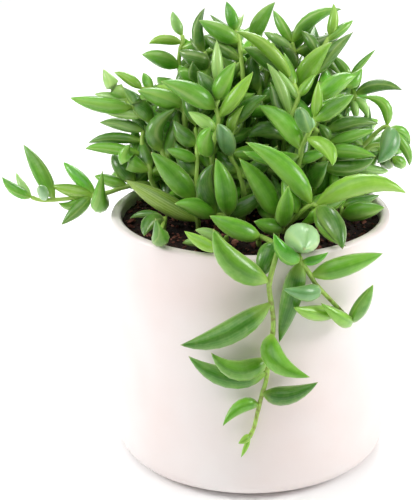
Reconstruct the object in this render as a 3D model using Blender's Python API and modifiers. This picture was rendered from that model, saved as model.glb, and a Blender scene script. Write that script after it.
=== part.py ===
"""A string of bananas plant in a plain white ceramic pot.

The pot and the soil are turned shapes. The plant is a set of shoots, each a thin stem with its leaves
fused to it. Every leaf is a plump, pointed spindle on a short stalk, curved like a banana.

All sizes below are in millimetres. The origin is the middle of the pot's foot, on the surface that the
pot stands on, with +Z up and the front of the plant towards -Y.
"""

import math

import bmesh
import bpy
import numpy as np
from mathutils import Vector

MM = 0.001

# Pot
POT_RADIUS = 55.0
POT_HEIGHT = 100.0
WALL = 4.0
LIP_ROUNDING = 1.5
BASE_ROUNDING = 5.5
FOOT_RADIUS = 48.8
FOOT_HEIGHT = 1.8
FLOOR_THICKNESS = 5.0
POT_SEGMENTS = 40

# Soil
SOIL_TOP = 97.0
SOIL_DIP = 1.2
SOIL_MOUND = 1.6
SOIL_GRIT = 0.7
SOIL_RINGS = 3
SOIL_SEGMENTS = 20
HOLE_DEPTH = 10.0
HOLE_SIDES = 5

# Shoots
STEM_RADIUS = 1.1
STEM_TIP_RADIUS = 0.8
ROOT_DEPTH = 8.0
STEM_STEP = 13.0
LEAF_THICKNESS = 0.82
STALK_SINK = 0.9
LEAF_SAG = 0.1
CLEARANCE = 0.3
SHARP_ANGLE = 60.0

# Stations along a leaf, from its stalk to its point, each with its share of the full half-width. The
# leaves that show best have more stations than those behind them.
LEAF_STATIONS = ((0.0, 0.0), (0.18, 0.7), (0.46, 1.0), (0.78, 0.7), (1.0, 0.0))
LEAF_SIDES = 4
INNER_LEAF_STATIONS = ((0.0, 0.0), (0.3, 0.86), (0.68, 0.88), (1.0, 0.0))

# Each sub-part's colour (linear) and roughness
CERAMIC = (0.84, 0.80, 0.78), 0.45
COMPOST = (0.035, 0.02, 0.014), 0.95
LEAF_GREEN = (0.11, 0.28, 0.035), 0.4

# The shoots at the front are laid out as they are seen by someone in front of the pot, who looks down
# on it a little. A place is (across, up) on the upright picture plane through VIEW_CENTRE, and a
# distance from that plane towards the eye. The eye is VIEW_DISTANCE away from the plane.
VIEW_CENTRE = (0.0, 0.0, 82.6)
VIEW_DISTANCE = 500.0
VIEW_ELEVATION = math.radians(20.34)
MIDDLE_REACH = 0.55

# Each front shoot: the place of its root on the soil (x, y), the places its stem passes (across, up,
# towards the eye), and its leaves. A leaf is given by the place where it leaves the stem, the middle
# and the point of its centre line (across, up), its full width, and how much nearer to the eye its
# point is than its stalk.
FRONT_SHOOTS = {
    "shoot_reaching_left": (
        (-30, 8),
        [(-41, 24.5, 4), (-50, 25, 6), (-57, 23, 6), (-64, 21.6, 5), (-71, 20.8, 4), (-77, 20.2, 3),
         (-84, 20, 2), (-88, 21.3, 2)],
        [
            (-46, 25, -51, 32.5, -55, 37.3, 6.8, -4),
            (-49, 25, -56.5, 27.8, -62, 29.5, 5.0, -5),
            (-58, 22.5, -60.5, 19, -59.2, 32, 7.0, 16),
            (-62, 21.9, -69.6, 29.8, -75, 35.2, 5.0, -6),
            (-62.5, 21.8, -71.5, 23.8, -80, 25.9, 5.8, -2),
            (-64, 21.6, -69.5, 16, -75.8, 10, 5.6, 4),
            (-67, 21.2, -71.5, 17.8, -77, 18.9, 4.4, -3),
            (-78.5, 20.2, -84.6, 32, -91, 42.3, 6.4, -3),
            (-82, 20.1, -83.3, 23.5, -84.8, 25.5, 4.4, 12),
            (-87.5, 21.2, -94.2, 24, -99.5, 29.3, 5.0, 2),
            (-87.8, 21.3, -91.5, 26, -93.8, 31, 3.2, -5),
        ],
    ),
    "shoot_front_fork": (
        (13, -22),
        [(17, 12, 33), (21, 16, 38), (24.5, 18.3, 40), (26.8, 17.2, 40)],
        [
            (24, 18.3, 13.3, 33.4, -2.3, 43.3, 8.6, 4),
            (26, 17.8, 45, 26.5, 62.3, 22.6, 8.6, -2),
            (26.8, 17.2, 33.6, 8.8, 36.8, 0.3, 8.4, 19),
            (26.5, 17.4, 29.5, 9, 37.8, 0.6, 5.0, 9),
            (26.8, 17.2, 24.5, 12.8, 20, 10.8, 4.3, -4),
        ],
    ),
    "shoot_front_upright": (
        (10, -25),
        [(12, 7.5, 33), (12.5, 9.5, 35), (11, 12.5, 34), (9.5, 13.5, 33)],
        [
            (12.5, 9, 7.3, 9.6, 1.3, 11.5, 6.6, 10),
            (12.5, 9.5, 13.8, 16.5, 15, 25.8, 7.2, 15),
            (9.8, 13.3, 4.6, 25, -4.8, 36.8, 8.6, 6),
        ],
    ),
    "shoot_trailing_right": (
        (15, -32),
        [(16.5, 1.8, 42), (18, -1.2, 51), (19.8, -5.3, 59.8), (24, -10, 56.5), (26.2, -14, 54),
         (30, -18, 50), (36, -24, 44), (40.3, -29, 40)],
        [
            (17.2, 0.6, 19.8, 2.2, 20.6, 0.6, 12.4, 27),
            (19.6, -4.8, 14.3, -0.8, 9.4, 6.6, 6.8, 11),
            (20.3, -6, 25.5, -4, 30.8, -1, 3.6, 3),
            (19.9, -5.8, 16, -21.5, 10.8, -38.7, 8.3, -9),
            (24, -10, 39, -5.9, 53, -1.3, 8.0, -4),
            (27, -15, 21.5, -17.5, 12.3, -15.4, 6.4, 12),
            (40, -28.7, 33.8, -27.2, 26.5, -20.8, 5.6, 15),
            (36, -24.5, 26, -25, 15.9, -22.4, 6.0, 16),
            (40.3, -29, 44.6, -21.7, 49.2, -13.5, 6.5, 12),
        ],
    ),
    "shoot_trailing_front": (
        (3, -34),
        [(4.5, 5, 46), (9, 1.5, 57), (10.3, -2, 64.5), (8.4, -9, 66), (7.3, -14, 64.5),
         (8, -20, 60.5), (9, -27, 55.5), (9, -33, 52), (8, -39, 49.3), (6.8, -46, 46.8), (6.2, -52, 44.7),
         (4.2, -59, 42.2), (2.5, -66, 39.8), (1.3, -71, 38.2), (-0.8, -75.5, 36.8)],
        [
            (4.3, 5.2, -6.5, 8.8, -16.5, 13.8, 8.0, 6),
            (8.8, 1.6, 5.2, -5.5, 2.6, -14, 7.8, 6),
            (7.4, -12.5, -7.2, -5, -15, 8.6, 9.8, 10),
            (8, -21, -10, -33.7, -28.3, -38, 9.2, 3),
            (9, -33.2, 10.3, -44.3, 24, -51, 8.5, 8),
            (7.2, -43, -5, -48.2, -15.9, -41, 8.0, 10),
            (6.5, -48.7, -10, -50.8, -25, -42.3, 8.3, 2),
            (4.9, -57, 15, -58.1, 27, -52.8, 7.3, 5),
            (3.3, -62.5, -4, -62.6, -11.2, -70.5, 5.3, 5),
            (0, -74, -2.3, -75.8, -5, -77.4, 3.0, 3),
            (-0.6, -75, -2, -79, -3.9, -83, 2.0, -1),
        ],
    ),
    "shoot_front_left": (
        (-13, -15),
        [(-13.5, 11, 25), (-14.2, 13.5, 28), (-11.5, 14.2, 31), (-9, 13.5, 33)],
        [
            (-14.2, 13.5, -22, 17.3, -30.6, 18.5, 7.7, 10),
            (-13.8, 14, -18.4, 25, -15, 34.6, 7.4, 8),
            (-9, 13.5, -10.3, 25, -14, 36.8, 8.3, 10),
        ],
    ),
    "shoot_old_leaf": (
        (-20, -18),
        [(-21.8, 16, 26), (-22, 24, 27), (-21.4, 36, 26), (-22, 50, 22)],
        [
            (-21.3, 11, -36.5, 20, -50, 28, 7.8, -2),
            (-22, 20, -30.9, 30, -40, 39.3, 8.6, 6),
            (-21.4, 36, -28, 38.3, -33.6, 40.3, 5.2, 3),
            (-21.6, 42, -27, 46, -31, 52, 6.5, -2),
            (-22, 50, -24.5, 56, -28, 61, 6.0, -4),
        ],
    ),
    "shoot_left_low": (
        (-33, -1),
        [(-39.5, 27, 10), (-40.5, 31, 12), (-42.5, 38, 12), (-43.5, 44, 10), (-42.5, 48, 9)],
        [
            (-40.5, 31, -42.3, 38.5, -42.8, 46, 6.0, -4),
            (-40.3, 30.5, -48.8, 36.2, -48, 42, 7.0, 8),
            (-42.5, 38, -57, 40.8, -66.2, 40.5, 5.4, 0),
            (-43.4, 43.5, -55.5, 44.9, -65, 42.8, 4.8, -4),
            (-42.7, 47.5, -52, 50.8, -60.5, 51, 5.4, 0),
        ],
    ),
    "shoot_left_high": (
        (-25, 7),
        [(-31, 30, 8), (-36.5, 39, 13), (-38.3, 50.5, 13), (-43, 54, 13), (-47.5, 57.5, 12),
         (-50, 60.5, 10)],
        [
            (-36.5, 38.5, -34.9, 47.5, -28.5, 57.5, 8.2, 6),
            (-38.3, 51, -44.5, 58, -51, 65, 6.4, 5),
            (-42.5, 53.7, -50, 53.8, -58, 54.4, 4.6, -4),
            (-46.7, 56.8, -60, 58.2, -72.3, 60.9, 7.3, 4),
            (-48.5, 58.7, -55.5, 61, -62.6, 62.4, 5.0, -5),
            (-49.8, 60.3, -55.3, 66.3, -58.8, 72.6, 6.6, 2),
        ],
    ),
    "shoot_left_back": (
        (-14, 20),
        [(-22, 48, -8), (-26, 66, -4), (-28.3, 74, -2), (-28.3, 80, -2), (-27.2, 83, -2),
         (-27.4, 86, -3)],
        [
            (-28.4, 73, -36.4, 76.7, -43.4, 78.1, 7.0, 2),
            (-27.2, 82.7, -35, 84.2, -40.8, 82.4, 4.8, 0),
            (-27.4, 85.7, -30, 91, -31.3, 95.5, 4.1, 0),
        ],
    ),
    "shoot_left_middle": (
        (-19, 3),
        [(-24, 36, 14), (-27, 50, 18), (-26.5, 58, 18), (-31, 62.5, 14), (-38, 64, 11),
         (-44, 64.5, 10)],
        [
            (-26.6, 57, -36, 61, -45.6, 64, 8.1, 4),
            (-28, 60, -32.5, 63.5, -37.6, 65.3, 3.8, 0),
            (-43.5, 64.5, -49, 68.6, -54.9, 71, 4.7, 0),
            (-40, 64.2, -41.5, 67.5, -43, 71, 4.2, -6),
        ],
    ),
    "shoot_centre_left": (
        (-9, -3),
        [(-13, 25, 20), (-15.5, 37, 27), (-13.6, 48.5, 28), (-12.8, 53, 28), (-14, 57, 27),
         (-13, 61, 25), (-13, 66, 22)],
        [
            (-15.5, 37.5, -18.4, 43.5, -15.8, 49, 7.4, 12),
            (-13.8, 48, -19.6, 52, -25, 55.3, 5.2, 2),
            (-12.8, 53, -5.6, 62, 1, 71.3, 5.9, 8),
            (-13.8, 56.5, -24.3, 63.2, -36, 67.5, 8.6, 8),
            (-13, 60, -11, 67, -5.9, 75.4, 7.8, 6),
            (-13.3, 60.5, -17.2, 66, -21.3, 71.5, 6.9, 0),
            (-13, 66, -13.4, 75, -13.6, 84, 5.2, 2),
        ],
    ),
    "shoot_centre_low": (
        (-3, -12),
        [(-3.5, 24, 24), (-5, 31.5, 27), (-8, 37.5, 28), (-7.8, 46, 27), (-5.5, 50, 25)],
        [
            (-5, 31.5, -9.5, 34.5, -14, 40, 6.2, -4),
            (-8, 37.5, -10.3, 45, -13.2, 50.5, 6.8, 12),
            (-7.6, 46.5, -7.2, 52, -2.6, 57.8, 4.3, 3),
            (-5.5, 50, -1, 57.3, 6.5, 61.7, 6.0, 4),
        ],
    ),
    "shoot_top_centre": (
        (-1, 10),
        [(-3, 45, 4), (-3.5, 65, 10), (-4.2, 78, 13), (-5, 85, 12), (-6, 88, 11)],
        [
            (-4.3, 76, -12.5, 81.5, -18.6, 86, 6.0, -4),
            (-4.8, 83, -13, 87.6, -20.9, 92, 7.2, 3),
            (-5.2, 85.5, -11, 89.5, -16.4, 94.3, 3.4, -7),
            (-5.9, 87.5, -7.8, 93.5, -9.7, 99.5, 4.8, 0),
            (-5.9, 87.8, -4.8, 91, -2.7, 94.4, 3.3, -6),
        ],
    ),
    "shoot_top_middle": (
        (4, 14),
        [(3, 48, 0), (2.5, 64, 4), (1.5, 78, 5), (0.8, 84.5, 4)],
        [
            (0.9, 84, 4, 91.8, 9.9, 99.3, 6.3, 2),
            (2.4, 62, 1, 70, 2.5, 78, 6.5, 8),
        ],
    ),
    "shoot_top_right_back": (
        (9, 22),
        [(14, 48, -10), (17, 66, -6), (17.3, 76, -4), (16.6, 83, -3)],
        [
            (17.2, 71, 15.3, 77.5, 11.8, 82, 6.2, 3),
            (16.9, 79, 10.5, 84, 4.5, 87.5, 4.8, -4),
            (16.6, 83, 12.2, 90, 8.9, 96.2, 4.9, -2),
            (16.7, 82.5, 25.2, 92.6, 36.6, 96.4, 5.8, 0),
        ],
    ),
    "shoot_top_right": (
        (13, 10),
        [(17.5, 44, 6), (18.4, 60, 10), (24, 69, 10), (27.3, 78, 7), (31.5, 85.3, 4)],
        [
            (18.6, 61, 23.9, 74, 33, 83.6, 7.7, 6),
            (24.2, 69.3, 32.3, 78.7, 41.1, 87.3, 6.2, 0),
            (27.2, 78, 24, 83.5, 20.4, 87.7, 5.0, -3),
            (30.5, 83.5, 36.5, 88.3, 40.9, 91.9, 4.2, -3),
            (31.5, 85.3, 33.1, 92, 33.1, 98.6, 4.6, 1),
        ],
    ),
    "shoot_right_top": (
        (11, -9),
        [(15.5, 24, 24), (19.6, 36, 30), (20.3, 41, 32), (22.3, 45, 33), (24.3, 49, 33),
         (25.6, 52, 32), (26.3, 60, 28)],
        [
            (19.3, 35, 25, 37, 31, 38.6, 4.8, -2),
            (20.2, 40, 13, 51.3, 3, 57.7, 8.3, -3),
            (22.2, 44.6, 30.8, 40.4, 32.6, 33.6, 6.3, 10),
            (23.3, 47.2, 20.6, 53, 19.9, 56.6, 6.4, 20),
            (24.4, 49.2, 24.4, 51, 24.4, 53, 2.9, 7),
            (25.4, 51.5, 34.2, 57.6, 41.4, 62.1, 6.3, 2),
            (25.8, 53, 26.7, 60, 27, 67.7, 5.0, 5),
            (26.3, 59.5, 34.8, 67, 42.2, 69.6, 7.3, -2),
        ],
    ),
    "shoot_centre_top": (
        (5, 0),
        [(12, 36, 14), (14.5, 47, 18), (17, 54, 20), (18.2, 60, 18), (16.5, 66, 14), (14.5, 69, 12)],
        [
            (14.3, 46, 5.5, 48.5, -1.6, 44.8, 7.0, 6),
            (16.8, 53.5, 12.3, 65.3, 6.7, 74.4, 5.0, 8),
            (18, 59, 15.3, 65, 11.6, 70.7, 3.6, 6),
            (18.1, 60.2, 22, 65.5, 25.2, 70.2, 3.8, -3),
            (17, 64.5, 16, 72, 13, 79.5, 4.8, -6),
            (15.8, 67, 6, 80.3, -6.5, 87.6, 5.8, 8),
            (14.8, 68.5, 5.5, 76.8, -2.8, 80.7, 7.0, 2),
        ],
    ),
    "shoot_right_middle": (
        (21, -6),
        [(25.5, 24, 18), (28.5, 33, 22), (30.3, 40, 22), (30.5, 48, 19)],
        [
            (25.8, 25, 26, 31, 30.9, 35.7, 7.2, 12),
            (28.6, 33.5, 40, 33, 49.8, 37, 6.6, 0),
            (30.2, 39.5, 40, 39.5, 50.2, 37.4, 6.4, 6),
            (30.4, 42.5, 41, 45.8, 49.9, 48.1, 5.2, 2),
            (30.5, 47.5, 41, 51, 51.2, 50.4, 6.2, -2),
            (30.4, 44, 29.8, 47.3, 27, 50.4, 4.8, 5),
        ],
    ),
    "shoot_right_arching": (
        (24, 10),
        [(30, 36, -2), (36, 52, 2), (40, 59.5, 3), (41.7, 62, 3), (40.3, 66, 3), (39.8, 69.5, 2)],
        [
            (41, 61, 45, 57.5, 46.6, 52.3, 4.2, -4),
            (40.5, 60, 41.8, 56, 42.3, 51.3, 3.6, 2),
            (41.6, 61.9, 51, 65.9, 60.7, 63.9, 5.3, 3),
            (41, 64, 42.3, 66.5, 44.6, 69.3, 2.9, 3),
            (39.9, 69, 36.3, 73.8, 32.3, 78.2, 4.2, -3),
            (39.8, 69.5, 44.7, 75, 50.1, 80.4, 2.8, -2),
        ],
    ),
    "shoot_right_far": (
        (31, 3),
        [(40, 34, 6), (48, 45, 10), (53.5, 49.3, 11), (56, 48, 11)],
        [
            (39, 32.5, 49.5, 32.2, 56.6, 31.4, 4.4, -4),
            (55, 48.7, 62, 40.5, 63.4, 33.6, 4.6, -3),
            (55.5, 48.5, 61, 47, 63.7, 42, 4.4, -6),
            (54.3, 49, 53.2, 58.3, 44.3, 61.2, 5.0, 2),
            (54.5, 49, 55.6, 42, 50.5, 34.6, 8.0, 9),
        ],
    ),
    "shoot_right_soil": (
        (33, -13),
        [(36.2, 14, 20), (36.3, 18, 19)],
        [
            (36.2, 13.5, 45, 15.7, 53.6, 17, 7.6, 4),
            (36.3, 17.5, 44, 19.5, 51.6, 22, 4.6, -4),
        ],
    ),
    "shoot_left_soil": (
        (-33, -22),
        [(-34.3, 12.6, 26), (-35.4, 9.4, 34), (-36.2, 5.8, 41)],
        [
            (-34.4, 12.4, -42, 14.4, -48.4, 12.6, 3.4, -6),
            (-34.6, 12, -40.4, 10.3, -42.2, 3, 6.5, 10),
            (-36.1, 6.2, -36.2, 2.6, -37.7, 11.6, 7.0, 17),
        ],
    ),
    "shoot_front_rim": (
        (-9, -34),
        [(-10, 4.5, 44), (-12, 2.5, 52), (-13, -0.8, 58.5)],
        [
            (-10.5, 4.3, -20.5, 3.4, -27.4, 2.4, 4.8, -2),
            (-10.8, 4, -17, 6.8, -22.3, 8, 4.3, 0),
            (-12.8, -0.3, -20, 3.2, -26.6, 7.6, 5.1, -4),
        ],
    ),
    "shoot_top_left": (
        (-6, 6),
        [(-14, 40, 6), (-18.5, 58, 10), (-20.3, 67, 9), (-17, 73.5, 7), (-18.7, 79.5, 5)],
        [
            (-20.2, 66.5, -25.5, 70, -28.3, 73.6, 5.4, 2),
            (-20.2, 68, -23.6, 71, -23.2, 75, 4.6, 9),
            (-17.2, 73.5, -23, 76, -29.6, 80.1, 7.8, 2),
            (-18.6, 79, -21.3, 88, -18.2, 97, 5.0, 0),
            (-18.4, 78, -21.5, 81.5, -24.4, 84.9, 3.0, -4),
        ],
    ),
}

# The shoots inside and at the back follow a rule: short ones in the middle, upright ones behind them,
# arching ones round those, and two that trail over the rim. Each row: name, how many, first and last
# compass angle in degrees (0 is +X, 90 is straight back), root radius, how far the tip goes out, how
# far it rises and droops, how many leaves each has, and where up the stem the first one stands.
INNER_SHOOTS = (
    ("shoot_inner", 4, 2, 186, 17, 9, 34, 2, 6, 0.2),
    ("shoot_back_upright", 5, 14, 150, 21, 21, 62, 4, 8, 0.22),
    ("shoot_back_arching", 7, 12, 168, 35, 25, 36, 14, 6, 0.25),
    ("shoot_back_trailing", 2, 62, 118, 44, 15.5, 20, 62, 6, 0.35),
)
INNER_LEAF_LENGTH = (22.0, 28.0)
INNER_LEAF_WIDTH = (6.4, 8.4)
INNER_STEM_POINTS = 5
STEM_SWAY = 4.0
ANGLE_JITTER = 1.5

# A leaf of an inner shoot heads partly along its stem, partly out to one side of it and partly away
# from the middle of the pot. On the shoots that hang over the wall it leans away from the wall.
ALONG_STEM = 0.55
TO_ONE_SIDE = 0.9
FROM_MIDDLE = 0.3
WALL_LEAN = 0.35
GOLDEN_ANGLE = math.radians(137.5)
SEED = 11

# More leaves hide the lower stems of the front shoots, on the side away from the eye
FILL_SPACING = 8.0
FILL_LOWEST = 7.0
FILL_MOST = 2
FILL_LENGTH = (17.0, 22.0)
FILL_WIDTH = (5.6, 7.2)
FILL_SEED = 23

# The crown's outline as the eye in front sees it (across, up). The inner shoots stay within it, and
# their leaves are behind the leaves of the front shoots by at least BEHIND. A stem ends STEM_MARGIN
# inside the outline. Stems and leaves get so many tries, each shorter than the one before.
CROWN_OUTLINE = (
    (-51, 21), (-55.5, 28), (-55.5, 36), (-51, 41), (-47, 49), (-51.5, 55), (-50.5, 61), (-45, 66.5),
    (-39.5, 69), (-32, 71), (-30, 78), (-27, 85.5), (-21.5, 92), (-11.5, 92.5), (-4, 91), (4.5, 96),
    (9.5, 97.5), (13, 94.5), (16, 89), (20.5, 93), (33.5, 96.5), (39.5, 90.5), (34, 80), (34, 72),
    (41, 69), (50, 65), (54, 58), (55.5, 49), (61.5, 43), (62.5, 36), (56, 33), (50, 29), (51.5, 18),
    (46, 14), (36, 13), (-12, 13), (-33, 17), (-43, 21),
)
OUTLINE_SAMPLES = 8
BEHIND = 1.0
TRIES = 10
SHORTENING = 0.06
STEM_MARGIN = 5.0

# How leaves are bent clear of each other. Leaves of one shoot may touch within LEAF_FOOT of their
# length from the stem, where they are fused to it.
TOUCH_GAP = 0.6
SAMPLE_SPACING = 2.3
THINNEST_SAMPLE = 1.2
SETTLING_STEPS = 260
FREE_STEPS = 100
PULL_BACK = 0.02
LENGTH_EASE = 0.1
DEPTH_EASE = 3.0
FRONT_MOBILITY = 1.0
INNER_MOBILITY = 4.0
STEM_MOBILITY = 0.5
SEARCH_MARGIN = 5.0
SEARCH_EVERY = 10
LEAF_FOOT = 0.42

COLLECTION = "potted_string_of_bananas"


def seen(across, up, towards):
    """The place, in the pot's own axes, that shows at (across, up) and lies that much nearer the eye."""
    rise = np.array([0.0, math.sin(VIEW_ELEVATION), math.cos(VIEW_ELEVATION)])
    to_eye = np.array([0.0, -math.cos(VIEW_ELEVATION), math.sin(VIEW_ELEVATION)])
    scale = 1 - towards / VIEW_DISTANCE
    flat = scale * (across * np.array([1.0, 0.0, 0.0]) + up * rise)
    return np.array(VIEW_CENTRE) + flat + towards * to_eye


def curve_weights(count, place):
    """How much each of count points weighs at a place, 0 to count - 1, on the smooth curve through them."""
    first = min(int(place), count - 2)
    f = place - first
    cubic = (
        -0.5 * f + f**2 - 0.5 * f**3,
        1 - 2.5 * f**2 + 1.5 * f**3,
        0.5 * f + 2 * f**2 - 1.5 * f**3,
        -0.5 * f**2 + 0.5 * f**3,
    )
    weights = np.zeros(count)
    for offset, weight in enumerate(cubic):
        weights[min(max(first - 1 + offset, 0), count - 1)] += weight
    return weights


def arc_weights(along):
    """Weights of a leaf's stalk, middle and point at a place, 0 to 1, on the arc through them."""
    u = along
    return np.array([(1 - u) * (1 - 2 * u), 4 * u * (1 - u), u * (2 * u - 1)])


def leaf_corners(inner):
    """Weights of a leaf's stalk, middle and point at each ring of its mesh."""
    return np.array([arc_weights(place) for place, _ in leaf_stations(inner)])


def leaf_stations(inner):
    return INNER_LEAF_STATIONS if inner else LEAF_STATIONS


def stem_corners(stem):
    """Weights of a stem's points at each corner of its mesh."""
    count = len(stem)
    length = np.linalg.norm(np.diff(stem, axis=0), axis=1).sum()
    steps = max(count, round(length / STEM_STEP) + 1)
    places = np.concatenate([[0.0], np.linspace(1, count - 1, steps)])
    return np.array([curve_weights(count, place) for place in places])


def chord_samples(corners, points):
    """Places, counted in corners, along the straight chords between them, with the weights of each."""
    for number, (near, far) in enumerate(zip(corners, corners[1:])):
        samples = math.ceil(np.linalg.norm((far - near) @ points) / SAMPLE_SPACING)
        for sample in range(samples):
            share = (sample + 0.5) / samples
            yield number + share, near + share * (far - near)


def rooted(root, points):
    """A stem's points, with two more that hold its root upright in the soil."""
    below = (root[0], root[1], SOIL_TOP - ROOT_DEPTH)
    above = (root[0], root[1], SOIL_TOP + 2 * STEM_RADIUS)
    return np.array([below, above, *points])


def front_shoot(root, stem_seen, leaves_seen):
    """A shoot from its row of FRONT_SHOOTS. A leaf starts at the place on the stem seen nearest to it."""
    stem = rooted(root, [seen(*place) for place in stem_seen])
    stem_flat = np.array([[0, 0, 0], [0, 0, 0], *stem_seen], float)
    start = stem[1] - np.array(VIEW_CENTRE)
    towards = start[2] * math.sin(VIEW_ELEVATION) - start[1] * math.cos(VIEW_ELEVATION)
    up = start[1] * math.sin(VIEW_ELEVATION) + start[2] * math.cos(VIEW_ELEVATION)
    scale = 1 - towards / VIEW_DISTANCE
    stem_flat[:2] = (start[0] / scale, up / scale, towards)
    leaves = []
    places = np.linspace(1, len(stem) - 1, 40 * len(stem))
    flat = np.array([curve_weights(len(stem), place) @ stem_flat for place in places])
    for from_a, from_b, mid_a, mid_b, tip_a, tip_b, width, reach in leaves_seen:
        best = np.argmin(np.hypot(flat[:, 0] - from_a, flat[:, 1] - from_b))
        depth = flat[best, 2]
        leaves.append({
            "at": curve_weights(len(stem), places[best]),
            "middle": seen(mid_a, mid_b, depth + MIDDLE_REACH * reach),
            "point": seen(tip_a, tip_b, depth + reach),
            "width": width * (1 - depth / VIEW_DISTANCE),
            "inner": False,
        })
    return {"stem": stem, "leaves": leaves}


def seen_balls(points, radii):
    """Balls as the eye sees them, each by its place across, up and towards it, and its radius."""
    points = points - VIEW_CENTRE
    up = points[:, 1] * math.sin(VIEW_ELEVATION) + points[:, 2] * math.cos(VIEW_ELEVATION)
    towards = points[:, 2] * math.sin(VIEW_ELEVATION) - points[:, 1] * math.cos(VIEW_ELEVATION)
    scale = 1 - towards / VIEW_DISTANCE
    return np.stack([points[:, 0] / scale, up / scale, towards, radii / scale], axis=1)


def seen_leaf(leaf, stem):
    places = np.linspace(0.15, 1, OUTLINE_SAMPLES)
    controls = np.array([leaf["at"] @ stem, leaf["middle"], leaf["point"]])
    points = np.array([arc_weights(place) for place in places]) @ controls
    share = np.interp(places, *np.array(leaf_stations(leaf["inner"])).T)
    return seen_balls(points, 0.5 * leaf["width"] * share)


def within_crown(balls):
    """Whether the centre of each ball lies within the crown's outline."""
    corners = np.array(CROWN_OUTLINE)
    ends = np.roll(corners, -1, axis=0)
    across, up = balls[:, None, 0], balls[:, None, 1]
    crosses = (corners[:, 1] > up) != (ends[:, 1] > up)
    rise = np.where(ends[:, 1] == corners[:, 1], 1, ends[:, 1] - corners[:, 1])
    edge = corners[:, 0] + (up - corners[:, 1]) / rise * (ends[:, 0] - corners[:, 0])
    return (crosses & (across < edge)).sum(axis=1) % 2 == 1


def stays_behind(balls, shown):
    """Whether a leaf's balls lie within the crown's outline and nowhere in front of a shown leaf."""
    across, up = balls[:, None, 0], balls[:, None, 1]
    apart = np.hypot(across - shown[:, 0], up - shown[:, 1]) - balls[:, None, 3] - shown[:, 3]
    ahead = balls[:, None, 2] > shown[:, 2] - BEHIND
    return within_crown(balls).all() and not (ahead & (apart < 0)).any()


def fill_leaves(draw, stem, lowest, shown):
    """Leaves on the bare lower part of a front shoot's stem, up to the place of its lowest leaf."""
    foot = curve_weights(len(stem), 1) @ stem
    bare = np.linalg.norm(curve_weights(len(stem), lowest) @ stem - foot)
    count = min(int((bare - FILL_LOWEST) / FILL_SPACING + 1), FILL_MOST) if bare > FILL_LOWEST else 0
    leaves = []
    for number in range(count):
        share = (FILL_LOWEST + (number + 0.5) * (bare - FILL_LOWEST) / count) / bare
        at = curve_weights(len(stem), 1 + share * (lowest - 1))
        start = at @ stem
        for _ in range(TRIES):
            heading = [draw.uniform(-1, 1), draw.uniform(0.2, 1.2), draw.uniform(0.4, 1.1)]
            length = draw.uniform(*FILL_LENGTH)
            point = start + length * np.array(heading) / np.linalg.norm(heading)
            leaf = {
                "at": at,
                "middle": 0.5 * (start + point) + np.array([0, 0, -LEAF_SAG * length]),
                "point": point,
                "width": draw.uniform(*FILL_WIDTH),
                "inner": True,
            }
            if stays_behind(seen_leaf(leaf, stem), shown):
                leaves.append(leaf)
                break
    return leaves


def inner_shoot(draw, shown, angle, root_radius, out, rise, droop, leaf_count, first_leaf):
    """A shoot that heads out at an angle, with leaves that turn round its stem as they go up."""
    outward = np.array([math.cos(angle), math.sin(angle), 0.0])
    side = np.array([-outward[1], outward[0], 0.0])
    sway = draw.uniform(-STEM_SWAY, STEM_SWAY)
    trails = droop > rise
    t = np.arange(1, INNER_STEM_POINTS + 1)[:, None] / INNER_STEM_POINTS
    for attempt in range(TRIES):
        size = 1 - SHORTENING * attempt
        height = SOIL_TOP + 2 * STEM_RADIUS + size * (rise * (1 - (1 - t) ** 2) - droop * t**3)
        points = (root_radius + size * out * t) * outward + sway * t * side + height * [0, 0, 1]
        if trails or within_crown(seen_balls(points[-1:] + STEM_MARGIN * outward, 0)).all():
            break
    stem = rooted(root_radius * outward[:2], list(points))
    leaves = []
    turn = draw.uniform(0, 2 * math.pi)
    for number in range(leaf_count):
        share = first_leaf + (1 - first_leaf) * number / (leaf_count - 1)
        place = 1 + (len(stem) - 2) * share
        at = curve_weights(len(stem), place)
        behind = curve_weights(len(stem), max(place - 0.5, 0.5)) @ stem
        start = at @ stem
        tangent = (start - behind) / np.linalg.norm(start - behind)
        across = np.cross(tangent, outward + np.array([0, 0, 0.5]))
        across /= np.linalg.norm(across)
        other = np.cross(across, tangent)
        for attempt in range(TRIES):
            size = 1 - SHORTENING * attempt
            around = turn + (number + attempt) * GOLDEN_ANGLE + draw.uniform(-0.3, 0.3)
            spread = math.cos(around) * across + math.sin(around) * other + FROM_MIDDLE * outward
            heading = ALONG_STEM * tangent + TO_ONE_SIDE * spread / np.linalg.norm(spread)
            heading /= np.linalg.norm(heading)
            if root_radius + out > POT_RADIUS:
                heading += max(0.0, WALL_LEAN - heading @ outward) * outward
                heading /= np.linalg.norm(heading)
            length = size * draw.uniform(*INNER_LEAF_LENGTH)
            point = start + length * heading
            leaf = {
                "at": at,
                "middle": 0.5 * (start + point) + np.array([0, 0, -LEAF_SAG * length]),
                "point": point,
                "width": math.sqrt(size) * draw.uniform(*INNER_LEAF_WIDTH),
                "inner": True,
            }
            last_resort = number == leaf_count - 1 and attempt == TRIES - 1
            if trails or last_resort or stays_behind(seen_leaf(leaf, stem), shown):
                leaves.append(leaf)
                break
    return {"stem": stem, "leaves": leaves}


def all_shoots():
    shoots = {name: front_shoot(*layout) for name, layout in FRONT_SHOOTS.items()}
    shown = np.concatenate(
        [seen_leaf(leaf, s["stem"]) for s in shoots.values() for leaf in s["leaves"]]
    )
    draw = np.random.default_rng(FILL_SEED)
    for shoot in shoots.values():
        lowest = min(np.argmax(leaf["at"]) for leaf in shoot["leaves"])
        shoot["leaves"] += fill_leaves(draw, shoot["stem"], lowest, shown)
    draw = np.random.default_rng(SEED)
    for name, count, first, last, *shape in INNER_SHOOTS:
        for number in range(count):
            angle = math.radians(first + (last - first) * number / (count - 1))
            angle += math.radians(draw.uniform(-ANGLE_JITTER, ANGLE_JITTER))
            shoots[f"{name}_{number + 1}"] = inner_shoot(draw, shown, angle, *shape)
    return shoots


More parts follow.
